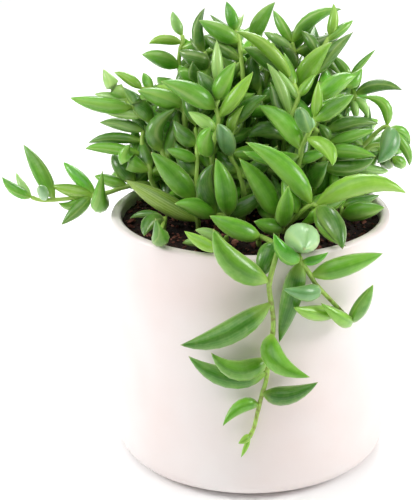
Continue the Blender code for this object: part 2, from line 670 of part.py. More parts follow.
class Layout:
    """Every stem and leaf as rows of small balls, each a weighted mean of the points that steer it."""

    def __init__(self, shoots):
        total = sum(len(s["stem"]) + 2 * len(s["leaves"]) for s in shoots.values())
        self.steer = np.zeros((total, 3))
        self.locked = np.zeros(total, bool)
        self.slots = {}
        rows, radii, owners, pieces, along, mobility = [], [], [], [], [], []
        leaf_slots, stalks = [], []

        def add(row, radius, owner, piece, place, freedom):
            rows.append(row)
            radii.append(radius)
            owners.append(owner)
            pieces.append(piece)
            along.append(place)
            mobility.append(freedom)

        used = 0
        for owner, (name, shoot) in enumerate(shoots.items()):
            stem = shoot["stem"]
            self.slots[name] = used
            self.steer[used:used + len(stem)] = stem
            self.locked[used:used + 2] = True
            ends = slice(used, used + len(stem))
            for _, weights in chord_samples(stem_corners(stem)[1:], stem):
                row = np.zeros(total)
                row[ends] = weights
                add(row, STEM_RADIUS, owner, -1, 0.0, STEM_MOBILITY)
            used += len(stem)
            for piece, leaf in enumerate(shoot["leaves"]):
                freedom = INNER_MOBILITY if leaf["inner"] else FRONT_MOBILITY
                self.steer[used] = leaf["middle"]
                self.steer[used + 1] = leaf["point"]
                line = np.array([leaf["at"] @ stem, leaf["middle"], leaf["point"]])
                places, shares = np.array(leaf_stations(leaf["inner"])).T
                for corner, weights in chord_samples(leaf_corners(leaf["inner"]), line):
                    row = np.zeros(total)
                    row[ends] = weights[0] * leaf["at"]
                    row[used:used + 2] = weights[1:]
                    share = np.interp(corner, range(len(shares)), shares)
                    place = np.interp(corner, range(len(places)), places)
                    radius = max(0.5 * leaf["width"] * share, THINNEST_SAMPLE)
                    add(row, radius, owner, piece, place, freedom)
                stalk = np.zeros(total)
                stalk[ends] = leaf["at"]
                stalks.append(stalk)
                leaf_slots.append(used)
                used += 2
        self.rows = np.array(rows)
        self.radii = np.array(radii)
        self.owners = np.array(owners)
        self.pieces = np.array(pieces)
        self.along = np.array(along)
        self.mobility = np.array(mobility)
        self.leaf_slots = np.array(leaf_slots)
        self.stalks = np.array(stalks)
        self.half_lengths = self.leaf_halves()

    def leaf_halves(self):
        """How long each leaf's stalk half and tip half are."""
        start = self.stalks @ self.steer
        middle, point = self.steer[self.leaf_slots], self.steer[self.leaf_slots + 1]
        halves = np.array([middle - start, point - middle])
        return np.linalg.norm(halves, axis=2)

    def keep_lengths(self):
        """Eases both halves of every leaf back to the length they were placed with."""
        start = self.stalks @ self.steer
        for half, ends in enumerate((self.leaf_slots, self.leaf_slots + 1)):
            reach = self.steer[ends] - start
            wanted = self.half_lengths[half] / np.linalg.norm(reach, axis=1)
            self.steer[ends] += LENGTH_EASE * (wanted - 1)[:, None] * reach
            start = self.steer[ends]

    def pairs(self, balls, margin):
        """Pairs of balls of different shoots, or of different leaves well away from their stem."""
        first, second = [], []
        for index in range(len(balls) - 1):
            rest = slice(index + 1, None)
            reach = self.radii[index] + self.radii[rest] + margin
            near = np.linalg.norm(balls[rest] - balls[index], axis=1) < reach
            same = self.owners[rest] == self.owners[index]
            leafy = (self.pieces[rest] >= 0) & (self.pieces[index] >= 0)
            apart = leafy & (self.pieces[rest] != self.pieces[index])
            outer = (self.along[rest] > LEAF_FOOT) & (self.along[index] > LEAF_FOOT)
            found = np.nonzero(near & (~same | (apart & outer)))[0] + index + 1
            first.append(np.full(len(found), index))
            second.append(found)
        return np.concatenate(first), np.concatenate(second)

    def shove_apart(self, balls, first, second):
        """Moves that part touching pairs, more readily towards and away from the eye than across."""
        gap = balls[first] - balls[second]
        distance = np.maximum(np.linalg.norm(gap, axis=1), 1e-6)
        short = self.radii[first] + self.radii[second] + TOUCH_GAP - distance
        hit = short > 0
        first, second, short = first[hit], second[hit], short[hit]
        line = gap[hit] / distance[hit, None]
        to_eye = np.array([0.0, -math.cos(VIEW_ELEVATION), math.sin(VIEW_ELEVATION)])
        eased = line + (DEPTH_EASE - 1) * (line @ to_eye)[:, None] * to_eye
        eased /= np.linalg.norm(eased, axis=1)[:, None]
        size = short / np.maximum((line * eased).sum(axis=1), 0.3)
        share = self.mobility[first] / (self.mobility[first] + self.mobility[second])
        moves = np.zeros_like(balls)
        np.add.at(moves, first, (share * size)[:, None] * eased)
        np.add.at(moves, second, -((1 - share) * size)[:, None] * eased)
        touched = np.zeros(len(balls))
        np.add.at(touched, first, 1)
        np.add.at(touched, second, 1)
        return moves, touched

    def shove_off_pot(self, balls, moves, touched):
        """Lifts balls off the soil and the rim, and keeps them outside the pot's wall."""
        room = self.radii + TOUCH_GAP
        radial = np.maximum(np.hypot(balls[:, 0], balls[:, 1]), 1e-6)
        outward = balls * [1, 1, 0] / radial[:, None]
        inner = POT_RADIUS - WALL
        sunk = SOIL_TOP + SOIL_MOUND + room - balls[:, 2]
        over_soil = (radial < inner) & (sunk > 0) & (self.pieces >= 0)
        moves[over_soil, 2] += sunk[over_soil]
        touched[over_soil] += 1
        lift = POT_HEIGHT + room - balls[:, 2]
        push = POT_RADIUS + room - radial
        in_rim = (lift > 0) & (push > 0) & (radial > inner - room)
        raise_it = in_rim & ((lift < push) | (radial < inner + 0.5 * WALL))
        send_out = in_rim & ~raise_it
        moves[raise_it, 2] += lift[raise_it]
        moves[send_out] += outward[send_out] * push[send_out, None]
        touched[in_rim] += 1

    def settle(self):
        """Bends stems and leaves until none touches another, near to where each was placed."""
        start = self.steer.copy()
        spread = self.rows / np.maximum((self.rows**2).sum(axis=1), 1e-6)[:, None]
        weight = np.abs(self.rows)
        for step in range(SETTLING_STEPS):
            balls = self.rows @ self.steer
            if step % SEARCH_EVERY == 0:
                first, second = self.pairs(balls, SEARCH_MARGIN)
            moves, touched = self.shove_apart(balls, first, second)
            self.shove_off_pot(balls, moves, touched)
            change = spread.T @ moves / np.maximum(weight.T @ touched, 1.0)[:, None]
            if step < SETTLING_STEPS - FREE_STEPS:
                change += PULL_BACK * (start - self.steer)
            change[self.locked] = 0
            self.steer += change
            self.keep_lengths()


def new_material(name, colour, roughness):
    material = bpy.data.materials.new(name)
    material.use_nodes = True
    shader = material.node_tree.nodes["Principled BSDF"]
    shader.inputs["Base Color"].default_value = (*colour, 1.0)
    shader.inputs["Roughness"].default_value = roughness
    shader.inputs["Metallic"].default_value = 0.0
    return material


def new_object(name, data, collection):
    obj = bpy.data.objects.new(name, data)
    collection.objects.link(obj)
    return obj


def new_collection(name):
    collection = bpy.data.collections.new(name)
    bpy.context.scene.collection.children.link(collection)
    return collection


def evaluated_mesh(obj):
    """The object's mesh with its modifiers, or its curve's bevel, applied."""
    bpy.context.view_layer.update()
    graph = bpy.context.evaluated_depsgraph_get()
    return bpy.data.meshes.new_from_object(obj.evaluated_get(graph))


def arc(centre_r, centre_z, radius, start, end, steps):
    """Points (r, z) round a rounding, between two angles in degrees."""
    angles = [math.radians(start + (end - start) * i / steps) for i in range(steps + 1)]
    return [(centre_r + radius * math.cos(a), centre_z + radius * math.sin(a)) for a in angles]


def turned(name, profile, segments, collection):
    """A solid of revolution about Z, from a profile (r, z) that runs down its outer side."""
    mesh = bpy.data.meshes.new(name)
    shape = bmesh.new()
    points = [shape.verts.new((r * MM, 0, z * MM)) for r, z in profile]
    for upper, lower in zip(points, points[1:]):
        shape.edges.new((upper, lower))
    shape.to_mesh(mesh)
    shape.free()
    obj = new_object(name, mesh, collection)
    screw = obj.modifiers.new("turn", "SCREW")
    screw.axis = "Z"
    screw.steps = segments
    screw.render_steps = segments
    screw.use_merge_vertices = True
    screw.merge_threshold = 1e-5
    return obj


def shade(mesh, angle):
    mesh.shade_smooth()
    mesh.set_sharp_from_angle(angle=math.radians(angle))


def make_pot(collection, material):
    outer = POT_RADIUS - LIP_ROUNDING
    inner = POT_RADIUS - WALL + LIP_ROUNDING
    lip = POT_HEIGHT - LIP_ROUNDING
    floor = FOOT_HEIGHT + FLOOR_THICKNESS
    base = POT_RADIUS - BASE_ROUNDING
    profile = [
        (0, floor),
        (POT_RADIUS - WALL - BASE_ROUNDING, floor),
        (POT_RADIUS - WALL, floor + BASE_ROUNDING),
        *arc(inner, lip, LIP_ROUNDING, 180, 90, 2),
        *arc(outer, lip, LIP_ROUNDING, 90, 0, 2),
        *arc(base, FOOT_HEIGHT + BASE_ROUNDING, BASE_ROUNDING, 0, -90, 3),
        (FOOT_RADIUS, FOOT_HEIGHT),
        (FOOT_RADIUS, 0),
        (0, 0),
    ]
    pot = turned("pot", profile, POT_SEGMENTS, collection)
    pot.data.materials.append(material)


def soil_height(x, y):
    """The soil's surface: a low mound with coarse crumbs, two uneven waves a few centimetres long."""
    radial = math.hypot(x, y) / (POT_RADIUS - WALL)
    crumbs = math.sin(0.31 * x + 1.3) * math.cos(0.27 * y) + 0.6 * math.sin(0.53 * y - 0.4 * x)
    fade = max(0.0, 1 - radial**4)
    return SOIL_TOP - SOIL_DIP + fade * (SOIL_MOUND + SOIL_GRIT * crumbs)


def make_soil(shoots, collection, cutters, material):
    edge = POT_RADIUS - WALL - CLEARANCE
    floor = FOOT_HEIGHT + FLOOR_THICKNESS + CLEARANCE
    rings = [(edge * i / SOIL_RINGS, SOIL_TOP) for i in range(SOIL_RINGS + 1)]
    corner = BASE_ROUNDING + CLEARANCE
    profile = rings + [(edge, floor + corner), (edge - corner, floor), (0, floor)]
    soil = turned("soil", profile, SOIL_SEGMENTS, collection)
    mesh = evaluated_mesh(soil)
    for vertex in mesh.vertices:
        if vertex.co.z > (SOIL_TOP - 1) * MM:
            vertex.co.z = soil_height(vertex.co.x / MM, vertex.co.y / MM) * MM
    soil.modifiers.clear()
    soil.data = mesh
    soil.name = "soil"
    mesh.materials.append(material)
    radius = (STEM_RADIUS + CLEARANCE) / math.cos(math.pi / HOLE_SIDES)
    holes = bmesh.new()
    for shoot in shoots.values():
        hole = bmesh.ops.create_cone(
            holes, cap_ends=True, segments=HOLE_SIDES, radius1=radius * MM, radius2=radius * MM,
            depth=2 * HOLE_DEPTH * MM
        )
        place = Vector((*shoot["stem"][0][:2], SOIL_TOP)) * MM
        bmesh.ops.translate(holes, verts=hole["verts"], vec=place)
    hole_mesh = bpy.data.meshes.new("stem_holes")
    holes.to_mesh(hole_mesh)
    holes.free()
    cutter = new_object("stem_holes", hole_mesh, cutters)
    cutter.hide_render = True
    cutter.display_type = "WIRE"
    cut = soil.modifiers.new("stem_holes", "BOOLEAN")
    cut.operation = "DIFFERENCE"
    cut.object = cutter
    cut.solver = "MANIFOLD"


def make_stem(name, points, collection):
    curve = bpy.data.curves.new(name, "CURVE")
    curve.dimensions = "3D"
    curve.bevel_depth = STEM_RADIUS * MM
    curve.bevel_resolution = 0
    curve.use_fill_caps = True
    line = curve.splines.new("POLY")
    line.points.add(len(points) - 1)
    for index, (dot, point) in enumerate(zip(line.points, points)):
        dot.co = (*(point * MM), 1)
        share = index / (len(points) - 1)
        dot.radius = 1 - share * (1 - STEM_TIP_RADIUS / STEM_RADIUS)
    guide = new_object(name + "_guide", curve, collection)
    mesh = evaluated_mesh(guide)
    bpy.data.objects.remove(guide)
    welded = bmesh.new()
    welded.from_mesh(mesh)
    bmesh.ops.remove_doubles(welded, verts=welded.verts, dist=1e-6)
    bmesh.ops.recalc_face_normals(welded, faces=welded.faces)
    welded.to_mesh(mesh)
    welded.free()
    return new_object(name, mesh, collection)


def make_leaf(name, start, middle, point, width, inner, collection):
    """A leaf: a ball with few faces, drawn out along the arc through the three places."""
    shape = bmesh.new()
    stations = leaf_stations(inner)
    bands = len(stations) - 1
    bmesh.ops.create_uvsphere(shape, u_segments=LEAF_SIDES, v_segments=bands, radius=1.0)
    controls = np.array([start, middle, point])
    sink = STALK_SINK * (start - middle) / np.linalg.norm(start - middle)
    for vertex in shape.verts:
        band = round(bands * math.acos(max(-1.0, min(1.0, -vertex.co.z))) / math.pi)
        along, share = stations[band]
        centre = arc_weights(along) @ controls
        ahead = arc_weights(min(along + 0.02, 1.0)) @ controls
        behind = arc_weights(max(along - 0.02, 0.0)) @ controls
        tangent = (ahead - behind) / np.linalg.norm(ahead - behind)
        hint = np.array([centre[0], centre[1], 0.0])
        hint = hint / max(np.linalg.norm(hint), 1.0) + np.array([0.0, 0.0, 1.2])
        side = np.cross(hint, tangent)
        side /= max(np.linalg.norm(side), 1e-6)
        top = np.cross(tangent, side)
        angle = math.atan2(vertex.co.y, vertex.co.x)
        radius = 0.5 * width * share
        offset = radius * (math.cos(angle) * side + LEAF_THICKNESS * math.sin(angle) * top)
        if band == 0:
            offset = sink
        vertex.co = Vector((centre + offset) * MM)
    mesh = bpy.data.meshes.new(name)
    shape.to_mesh(mesh)
    shape.free()
    return new_object(name, mesh, collection)


def keep_main_body(mesh):
    """Leaves only the largest connected shell, so that no sealed hollow or loose scrap stays."""
    body = bmesh.new()
    body.from_mesh(mesh)
    left = set(body.verts)
    shells = []
    while left:
        shell = {left.pop()}
        front = list(shell)
        while front:
            vertex = front.pop()
            near = {edge.other_vert(vertex) for edge in vertex.link_edges} & left
            shell |= near
            left -= near
            front.extend(near)
        shells.append(shell)
    main_shell = max(shells, key=len)
    spare = [vertex for shell in shells if shell is not main_shell for vertex in shell]
    bmesh.ops.delete(body, geom=spare, context="VERTS")
    body.to_mesh(mesh)
    body.free()


def make_shoot(name, shoot, layout, collection, scratch, material):
    """One shoot: its stem and leaves fused into one solid."""
    used = layout.slots[name]
    count = len(shoot["stem"])
    controls = layout.steer[used:used + count]
    stem = make_stem(name, stem_corners(shoot["stem"]) @ controls, collection)
    leaves = []
    for number, leaf in enumerate(shoot["leaves"]):
        slot = used + count + 2 * number
        start = leaf["at"] @ controls
        middle, point = layout.steer[slot], layout.steer[slot + 1]
        leaf_name = f"{name}_leaf_{number + 1}"
        leaves.append(
            make_leaf(leaf_name, start, middle, point, leaf["width"], leaf["inner"], scratch)
        )
    join = stem.modifiers.new("leaves", "BOOLEAN")
    join.operation = "UNION"
    join.operand_type = "COLLECTION"
    join.collection = scratch
    join.solver = "MANIFOLD"
    fused = evaluated_mesh(stem)
    keep_main_body(fused)
    stem.modifiers.clear()
    stem.data = fused
    fused.materials.clear()
    fused.materials.append(material)
    shade(fused, SHARP_ANGLE)
    for leaf in leaves:
        bpy.data.objects.remove(leaf)


def main():
    for obj in list(bpy.data.objects):
        bpy.data.objects.remove(obj)
    parts = new_collection(COLLECTION)
    cutters = new_collection("cutters")
    scratch = new_collection("leaves_to_fuse")
    ceramic = new_material("white_ceramic", *CERAMIC)
    compost = new_material("potting_compost", *COMPOST)
    leaf_green = new_material("succulent_leaf", *LEAF_GREEN)
    shoots = all_shoots()
    layout = Layout(shoots)
    layout.settle()
    make_pot(parts, ceramic)
    make_soil(shoots, parts, cutters, compost)
    for name, shoot in shoots.items():
        make_shoot(name, shoot, layout, parts, scratch, leaf_green)
    bpy.data.collections.remove(scratch)


main()
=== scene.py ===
"""The finish of a potted string of bananas: leaves, stems, compost, ceramic pot and stage.

The layout of the shoots repeats the numbers and steps of the model's source, in millimetres, so that
each fine leaf lies where its plain solid does. Every piece rides on the part's one body, the root.
"""

import math

import bmesh
import bpy
import numpy as np
from bpy.props import FloatProperty, FloatVectorProperty, IntProperty, PointerProperty
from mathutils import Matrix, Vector, noise


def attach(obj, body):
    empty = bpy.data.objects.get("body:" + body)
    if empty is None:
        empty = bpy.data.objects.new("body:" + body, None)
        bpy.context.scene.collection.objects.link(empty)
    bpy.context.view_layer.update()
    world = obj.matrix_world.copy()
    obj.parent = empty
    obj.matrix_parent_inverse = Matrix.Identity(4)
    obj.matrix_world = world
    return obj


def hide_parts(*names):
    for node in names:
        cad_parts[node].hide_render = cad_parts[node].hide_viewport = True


bl_info = {
    "name": "Potted String of Bananas",
    "version": (1, 0, 0),
    "blender": (4, 5, 0),
    "location": "View3D > Sidebar > Bananas",
    "description": "Builds the fine leaves, stems, compost and pot of a string of bananas",
    "category": "Add Mesh",
}

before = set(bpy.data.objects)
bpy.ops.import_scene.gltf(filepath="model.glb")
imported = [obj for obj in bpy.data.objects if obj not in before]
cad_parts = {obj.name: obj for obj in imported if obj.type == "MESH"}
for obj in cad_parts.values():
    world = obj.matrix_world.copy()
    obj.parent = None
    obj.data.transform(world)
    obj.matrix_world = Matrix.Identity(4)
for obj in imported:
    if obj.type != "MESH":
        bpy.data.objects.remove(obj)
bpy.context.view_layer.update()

MM = 0.001

# Pot
POT_RADIUS = 55.0
POT_HEIGHT = 100.0
WALL = 4.0
LIP_ROUNDING = 1.5
BASE_ROUNDING = 5.5
FOOT_RADIUS = 48.8
FOOT_HEIGHT = 1.8
FLOOR_THICKNESS = 5.0

# Soil
SOIL_TOP = 97.0
SOIL_DIP = 1.2
SOIL_MOUND = 1.6
SOIL_GRIT = 0.7

# Shoots
STEM_RADIUS = 1.1
STEM_TIP_RADIUS = 0.8
ROOT_DEPTH = 8.0
STEM_STEP = 13.0
LEAF_THICKNESS = 0.82
STALK_SINK = 0.9
LEAF_SAG = 0.1
CLEARANCE = 0.3

# Stations along a leaf, from its stalk to its point, each with its share of the full half-width. The
# leaves that show best have more stations than those behind them.
LEAF_STATIONS = ((0.0, 0.0), (0.18, 0.7), (0.46, 1.0), (0.78, 0.7), (1.0, 0.0))
INNER_LEAF_STATIONS = ((0.0, 0.0), (0.3, 0.86), (0.68, 0.88), (1.0, 0.0))

# The shoots at the front are laid out as they are seen by someone in front of the pot, who looks down
# on it a little. A place is (across, up) on the upright picture plane through VIEW_CENTRE, and a
# distance from that plane towards the eye. The eye is VIEW_DISTANCE away from the plane.
VIEW_CENTRE = (0.0, 0.0, 82.6)
VIEW_DISTANCE = 500.0
VIEW_ELEVATION = math.radians(20.34)
MIDDLE_REACH = 0.55

# Each front shoot: the place of its root on the soil (x, y), the places its stem passes (across, up,
# towards the eye), and its leaves. A leaf is given by the place where it leaves the stem, the middle
# and the point of its centre line (across, up), its full width, and how much nearer to the eye its
# point is than its stalk.
FRONT_SHOOTS = {
    "shoot_reaching_left": (
        (-30, 8),
        [(-41, 24.5, 4), (-50, 25, 6), (-57, 23, 6), (-64, 21.6, 5), (-71, 20.8, 4), (-77, 20.2, 3),
         (-84, 20, 2), (-88, 21.3, 2)],
        [
            (-46, 25, -51, 32.5, -55, 37.3, 6.8, -4),
            (-49, 25, -56.5, 27.8, -62, 29.5, 5.0, -5),
            (-58, 22.5, -60.5, 19, -59.2, 32, 7.0, 16),
            (-62, 21.9, -69.6, 29.8, -75, 35.2, 5.0, -6),
            (-62.5, 21.8, -71.5, 23.8, -80, 25.9, 5.8, -2),
            (-64, 21.6, -69.5, 16, -75.8, 10, 5.6, 4),
            (-67, 21.2, -71.5, 17.8, -77, 18.9, 4.4, -3),
            (-78.5, 20.2, -84.6, 32, -91, 42.3, 6.4, -3),
            (-82, 20.1, -83.3, 23.5, -84.8, 25.5, 4.4, 12),
            (-87.5, 21.2, -94.2, 24, -99.5, 29.3, 5.0, 2),
            (-87.8, 21.3, -91.5, 26, -93.8, 31, 3.2, -5),
        ],
    ),
    "shoot_front_fork": (
        (13, -22),
        [(17, 12, 33), (21, 16, 38), (24.5, 18.3, 40), (26.8, 17.2, 40)],
        [
            (24, 18.3, 13.3, 33.4, -2.3, 43.3, 8.6, 4),
            (26, 17.8, 45, 26.5, 62.3, 22.6, 8.6, -2),
            (26.8, 17.2, 33.6, 8.8, 36.8, 0.3, 8.4, 19),
            (26.5, 17.4, 29.5, 9, 37.8, 0.6, 5.0, 9),
            (26.8, 17.2, 24.5, 12.8, 20, 10.8, 4.3, -4),
        ],
    ),
    "shoot_front_upright": (
        (10, -25),
        [(12, 7.5, 33), (12.5, 9.5, 35), (11, 12.5, 34), (9.5, 13.5, 33)],
        [
            (12.5, 9, 7.3, 9.6, 1.3, 11.5, 6.6, 10),
            (12.5, 9.5, 13.8, 16.5, 15, 25.8, 7.2, 15),
            (9.8, 13.3, 4.6, 25, -4.8, 36.8, 8.6, 6),
        ],
    ),
    "shoot_trailing_right": (
        (15, -32),
        [(16.5, 1.8, 42), (18, -1.2, 51), (19.8, -5.3, 59.8), (24, -10, 56.5), (26.2, -14, 54),
         (30, -18, 50), (36, -24, 44), (40.3, -29, 40)],
        [
            (17.2, 0.6, 19.8, 2.2, 20.6, 0.6, 12.4, 27),
            (19.6, -4.8, 14.3, -0.8, 9.4, 6.6, 6.8, 11),
            (20.3, -6, 25.5, -4, 30.8, -1, 3.6, 3),
            (19.9, -5.8, 16, -21.5, 10.8, -38.7, 8.3, -9),
            (24, -10, 39, -5.9, 53, -1.3, 8.0, -4),
            (27, -15, 21.5, -17.5, 12.3, -15.4, 6.4, 12),
            (40, -28.7, 33.8, -27.2, 26.5, -20.8, 5.6, 15),
            (36, -24.5, 26, -25, 15.9, -22.4, 6.0, 16),
            (40.3, -29, 44.6, -21.7, 49.2, -13.5, 6.5, 12),
        ],
    ),
    "shoot_trailing_front": (
        (3, -34),
        [(4.5, 5, 46), (9, 1.5, 57), (10.3, -2, 64.5), (8.4, -9, 66), (7.3, -14, 64.5),
         (8, -20, 60.5), (9, -27, 55.5), (9, -33, 52), (8, -39, 49.3), (6.8, -46, 46.8),
         (6.2, -52, 44.7), (4.2, -59, 42.2), (2.5, -66, 39.8), (1.3, -71, 38.2), (-0.8, -75.5, 36.8)],
        [
            (4.3, 5.2, -6.5, 8.8, -16.5, 13.8, 8.0, 6),
            (8.8, 1.6, 5.2, -5.5, 2.6, -14, 7.8, 6),
            (7.4, -12.5, -7.2, -5, -15, 8.6, 9.8, 10),
            (8, -21, -10, -33.7, -28.3, -38, 9.2, 3),
            (9, -33.2, 10.3, -44.3, 24, -51, 8.5, 8),
            (7.2, -43, -5, -48.2, -15.9, -41, 8.0, 10),
            (6.5, -48.7, -10, -50.8, -25, -42.3, 8.3, 2),
            (4.9, -57, 15, -58.1, 27, -52.8, 7.3, 5),
            (3.3, -62.5, -4, -62.6, -11.2, -70.5, 5.3, 5),
            (0, -74, -2.3, -75.8, -5, -77.4, 3.0, 3),
            (-0.6, -75, -2, -79, -3.9, -83, 2.0, -1),
        ],
    ),
    "shoot_front_left": (
        (-13, -15),
        [(-13.5, 11, 25), (-14.2, 13.5, 28), (-11.5, 14.2, 31), (-9, 13.5, 33)],
        [
            (-14.2, 13.5, -22, 17.3, -30.6, 18.5, 7.7, 10),
            (-13.8, 14, -18.4, 25, -15, 34.6, 7.4, 8),
            (-9, 13.5, -10.3, 25, -14, 36.8, 8.3, 10),
        ],
    ),
    "shoot_old_leaf": (
        (-20, -18),
        [(-21.8, 16, 26), (-22, 24, 27), (-21.4, 36, 26), (-22, 50, 22)],
        [
            (-21.3, 11, -36.5, 20, -50, 28, 7.8, -2),
            (-22, 20, -30.9, 30, -40, 39.3, 8.6, 6),
            (-21.4, 36, -28, 38.3, -33.6, 40.3, 5.2, 3),
            (-21.6, 42, -27, 46, -31, 52, 6.5, -2),
            (-22, 50, -24.5, 56, -28, 61, 6.0, -4),
        ],
    ),
    "shoot_left_low": (
        (-33, -1),
        [(-39.5, 27, 10), (-40.5, 31, 12), (-42.5, 38, 12), (-43.5, 44, 10), (-42.5, 48, 9)],
        [
            (-40.5, 31, -42.3, 38.5, -42.8, 46, 6.0, -4),
            (-40.3, 30.5, -48.8, 36.2, -48, 42, 7.0, 8),
            (-42.5, 38, -57, 40.8, -66.2, 40.5, 5.4, 0),
            (-43.4, 43.5, -55.5, 44.9, -65, 42.8, 4.8, -4),
            (-42.7, 47.5, -52, 50.8, -60.5, 51, 5.4, 0),
        ],
    ),
    "shoot_left_high": (
        (-25, 7),
        [(-31, 30, 8), (-36.5, 39, 13), (-38.3, 50.5, 13), (-43, 54, 13), (-47.5, 57.5, 12),
         (-50, 60.5, 10)],
        [
            (-36.5, 38.5, -34.9, 47.5, -28.5, 57.5, 8.2, 6),
            (-38.3, 51, -44.5, 58, -51, 65, 6.4, 5),
            (-42.5, 53.7, -50, 53.8, -58, 54.4, 4.6, -4),
            (-46.7, 56.8, -60, 58.2, -72.3, 60.9, 7.3, 4),
            (-48.5, 58.7, -55.5, 61, -62.6, 62.4, 5.0, -5),
            (-49.8, 60.3, -55.3, 66.3, -58.8, 72.6, 6.6, 2),
        ],
    ),
    "shoot_left_back": (
        (-14, 20),
        [(-22, 48, -8), (-26, 66, -4), (-28.3, 74, -2), (-28.3, 80, -2), (-27.2, 83, -2),
         (-27.4, 86, -3)],
        [
            (-28.4, 73, -36.4, 76.7, -43.4, 78.1, 7.0, 2),
            (-27.2, 82.7, -35, 84.2, -40.8, 82.4, 4.8, 0),
            (-27.4, 85.7, -30, 91, -31.3, 95.5, 4.1, 0),
        ],
    ),
    "shoot_left_middle": (
        (-19, 3),
        [(-24, 36, 14), (-27, 50, 18), (-26.5, 58, 18), (-31, 62.5, 14), (-38, 64, 11),
         (-44, 64.5, 10)],
        [
            (-26.6, 57, -36, 61, -45.6, 64, 8.1, 4),
            (-28, 60, -32.5, 63.5, -37.6, 65.3, 3.8, 0),
            (-43.5, 64.5, -49, 68.6, -54.9, 71, 4.7, 0),
            (-40, 64.2, -41.5, 67.5, -43, 71, 4.2, -6),
        ],
    ),
    "shoot_centre_left": (
        (-9, -3),
        [(-13, 25, 20), (-15.5, 37, 27), (-13.6, 48.5, 28), (-12.8, 53, 28), (-14, 57, 27),
         (-13, 61, 25), (-13, 66, 22)],
        [
            (-15.5, 37.5, -18.4, 43.5, -15.8, 49, 7.4, 12),
            (-13.8, 48, -19.6, 52, -25, 55.3, 5.2, 2),
            (-12.8, 53, -5.6, 62, 1, 71.3, 5.9, 8),
            (-13.8, 56.5, -24.3, 63.2, -36, 67.5, 8.6, 8),
            (-13, 60, -11, 67, -5.9, 75.4, 7.8, 6),
            (-13.3, 60.5, -17.2, 66, -21.3, 71.5, 6.9, 0),
            (-13, 66, -13.4, 75, -13.6, 84, 5.2, 2),
        ],
    ),
    "shoot_centre_low": (
        (-3, -12),
        [(-3.5, 24, 24), (-5, 31.5, 27), (-8, 37.5, 28), (-7.8, 46, 27), (-5.5, 50, 25)],
        [
            (-5, 31.5, -9.5, 34.5, -14, 40, 6.2, -4),
            (-8, 37.5, -10.3, 45, -13.2, 50.5, 6.8, 12),
            (-7.6, 46.5, -7.2, 52, -2.6, 57.8, 4.3, 3),
            (-5.5, 50, -1, 57.3, 6.5, 61.7, 6.0, 4),
        ],
    ),
    "shoot_top_centre": (
        (-1, 10),
        [(-3, 45, 4), (-3.5, 65, 10), (-4.2, 78, 13), (-5, 85, 12), (-6, 88, 11)],
        [
            (-4.3, 76, -12.5, 81.5, -18.6, 86, 6.0, -4),
            (-4.8, 83, -13, 87.6, -20.9, 92, 7.2, 3),
            (-5.2, 85.5, -11, 89.5, -16.4, 94.3, 3.4, -7),
            (-5.9, 87.5, -7.8, 93.5, -9.7, 99.5, 4.8, 0),
            (-5.9, 87.8, -4.8, 91, -2.7, 94.4, 3.3, -6),
        ],
    ),
    "shoot_top_middle": (
        (4, 14),
        [(3, 48, 0), (2.5, 64, 4), (1.5, 78, 5), (0.8, 84.5, 4)],
        [
            (0.9, 84, 4, 91.8, 9.9, 99.3, 6.3, 2),
            (2.4, 62, 1, 70, 2.5, 78, 6.5, 8),
        ],
    ),
    "shoot_top_right_back": (
        (9, 22),
        [(14, 48, -10), (17, 66, -6), (17.3, 76, -4), (16.6, 83, -3)],
        [
            (17.2, 71, 15.3, 77.5, 11.8, 82, 6.2, 3),
            (16.9, 79, 10.5, 84, 4.5, 87.5, 4.8, -4),
            (16.6, 83, 12.2, 90, 8.9, 96.2, 4.9, -2),
            (16.7, 82.5, 25.2, 92.6, 36.6, 96.4, 5.8, 0),
        ],
    ),
    "shoot_top_right": (
        (13, 10),
        [(17.5, 44, 6), (18.4, 60, 10), (24, 69, 10), (27.3, 78, 7), (31.5, 85.3, 4)],
        [
            (18.6, 61, 23.9, 74, 33, 83.6, 7.7, 6),
            (24.2, 69.3, 32.3, 78.7, 41.1, 87.3, 6.2, 0),
            (27.2, 78, 24, 83.5, 20.4, 87.7, 5.0, -3),
            (30.5, 83.5, 36.5, 88.3, 40.9, 91.9, 4.2, -3),
            (31.5, 85.3, 33.1, 92, 33.1, 98.6, 4.6, 1),
        ],
    ),
    "shoot_right_top": (
        (11, -9),
        [(15.5, 24, 24), (19.6, 36, 30), (20.3, 41, 32), (22.3, 45, 33), (24.3, 49, 33),
         (25.6, 52, 32), (26.3, 60, 28)],
        [
            (19.3, 35, 25, 37, 31, 38.6, 4.8, -2),
            (20.2, 40, 13, 51.3, 3, 57.7, 8.3, -3),
            (22.2, 44.6, 30.8, 40.4, 32.6, 33.6, 6.3, 10),
            (23.3, 47.2, 20.6, 53, 19.9, 56.6, 6.4, 20),
            (24.4, 49.2, 24.4, 51, 24.4, 53, 2.9, 7),
            (25.4, 51.5, 34.2, 57.6, 41.4, 62.1, 6.3, 2),
            (25.8, 53, 26.7, 60, 27, 67.7, 5.0, 5),
            (26.3, 59.5, 34.8, 67, 42.2, 69.6, 7.3, -2),
        ],
    ),
    "shoot_centre_top": (
        (5, 0),
        [(12, 36, 14), (14.5, 47, 18), (17, 54, 20), (18.2, 60, 18), (16.5, 66, 14), (14.5, 69, 12)],
        [
            (14.3, 46, 5.5, 48.5, -1.6, 44.8, 7.0, 6),
            (16.8, 53.5, 12.3, 65.3, 6.7, 74.4, 5.0, 8),
            (18, 59, 15.3, 65, 11.6, 70.7, 3.6, 6),
            (18.1, 60.2, 22, 65.5, 25.2, 70.2, 3.8, -3),
            (17, 64.5, 16, 72, 13, 79.5, 4.8, -6),
            (15.8, 67, 6, 80.3, -6.5, 87.6, 5.8, 8),
            (14.8, 68.5, 5.5, 76.8, -2.8, 80.7, 7.0, 2),
        ],
    ),
    "shoot_right_middle": (
        (21, -6),
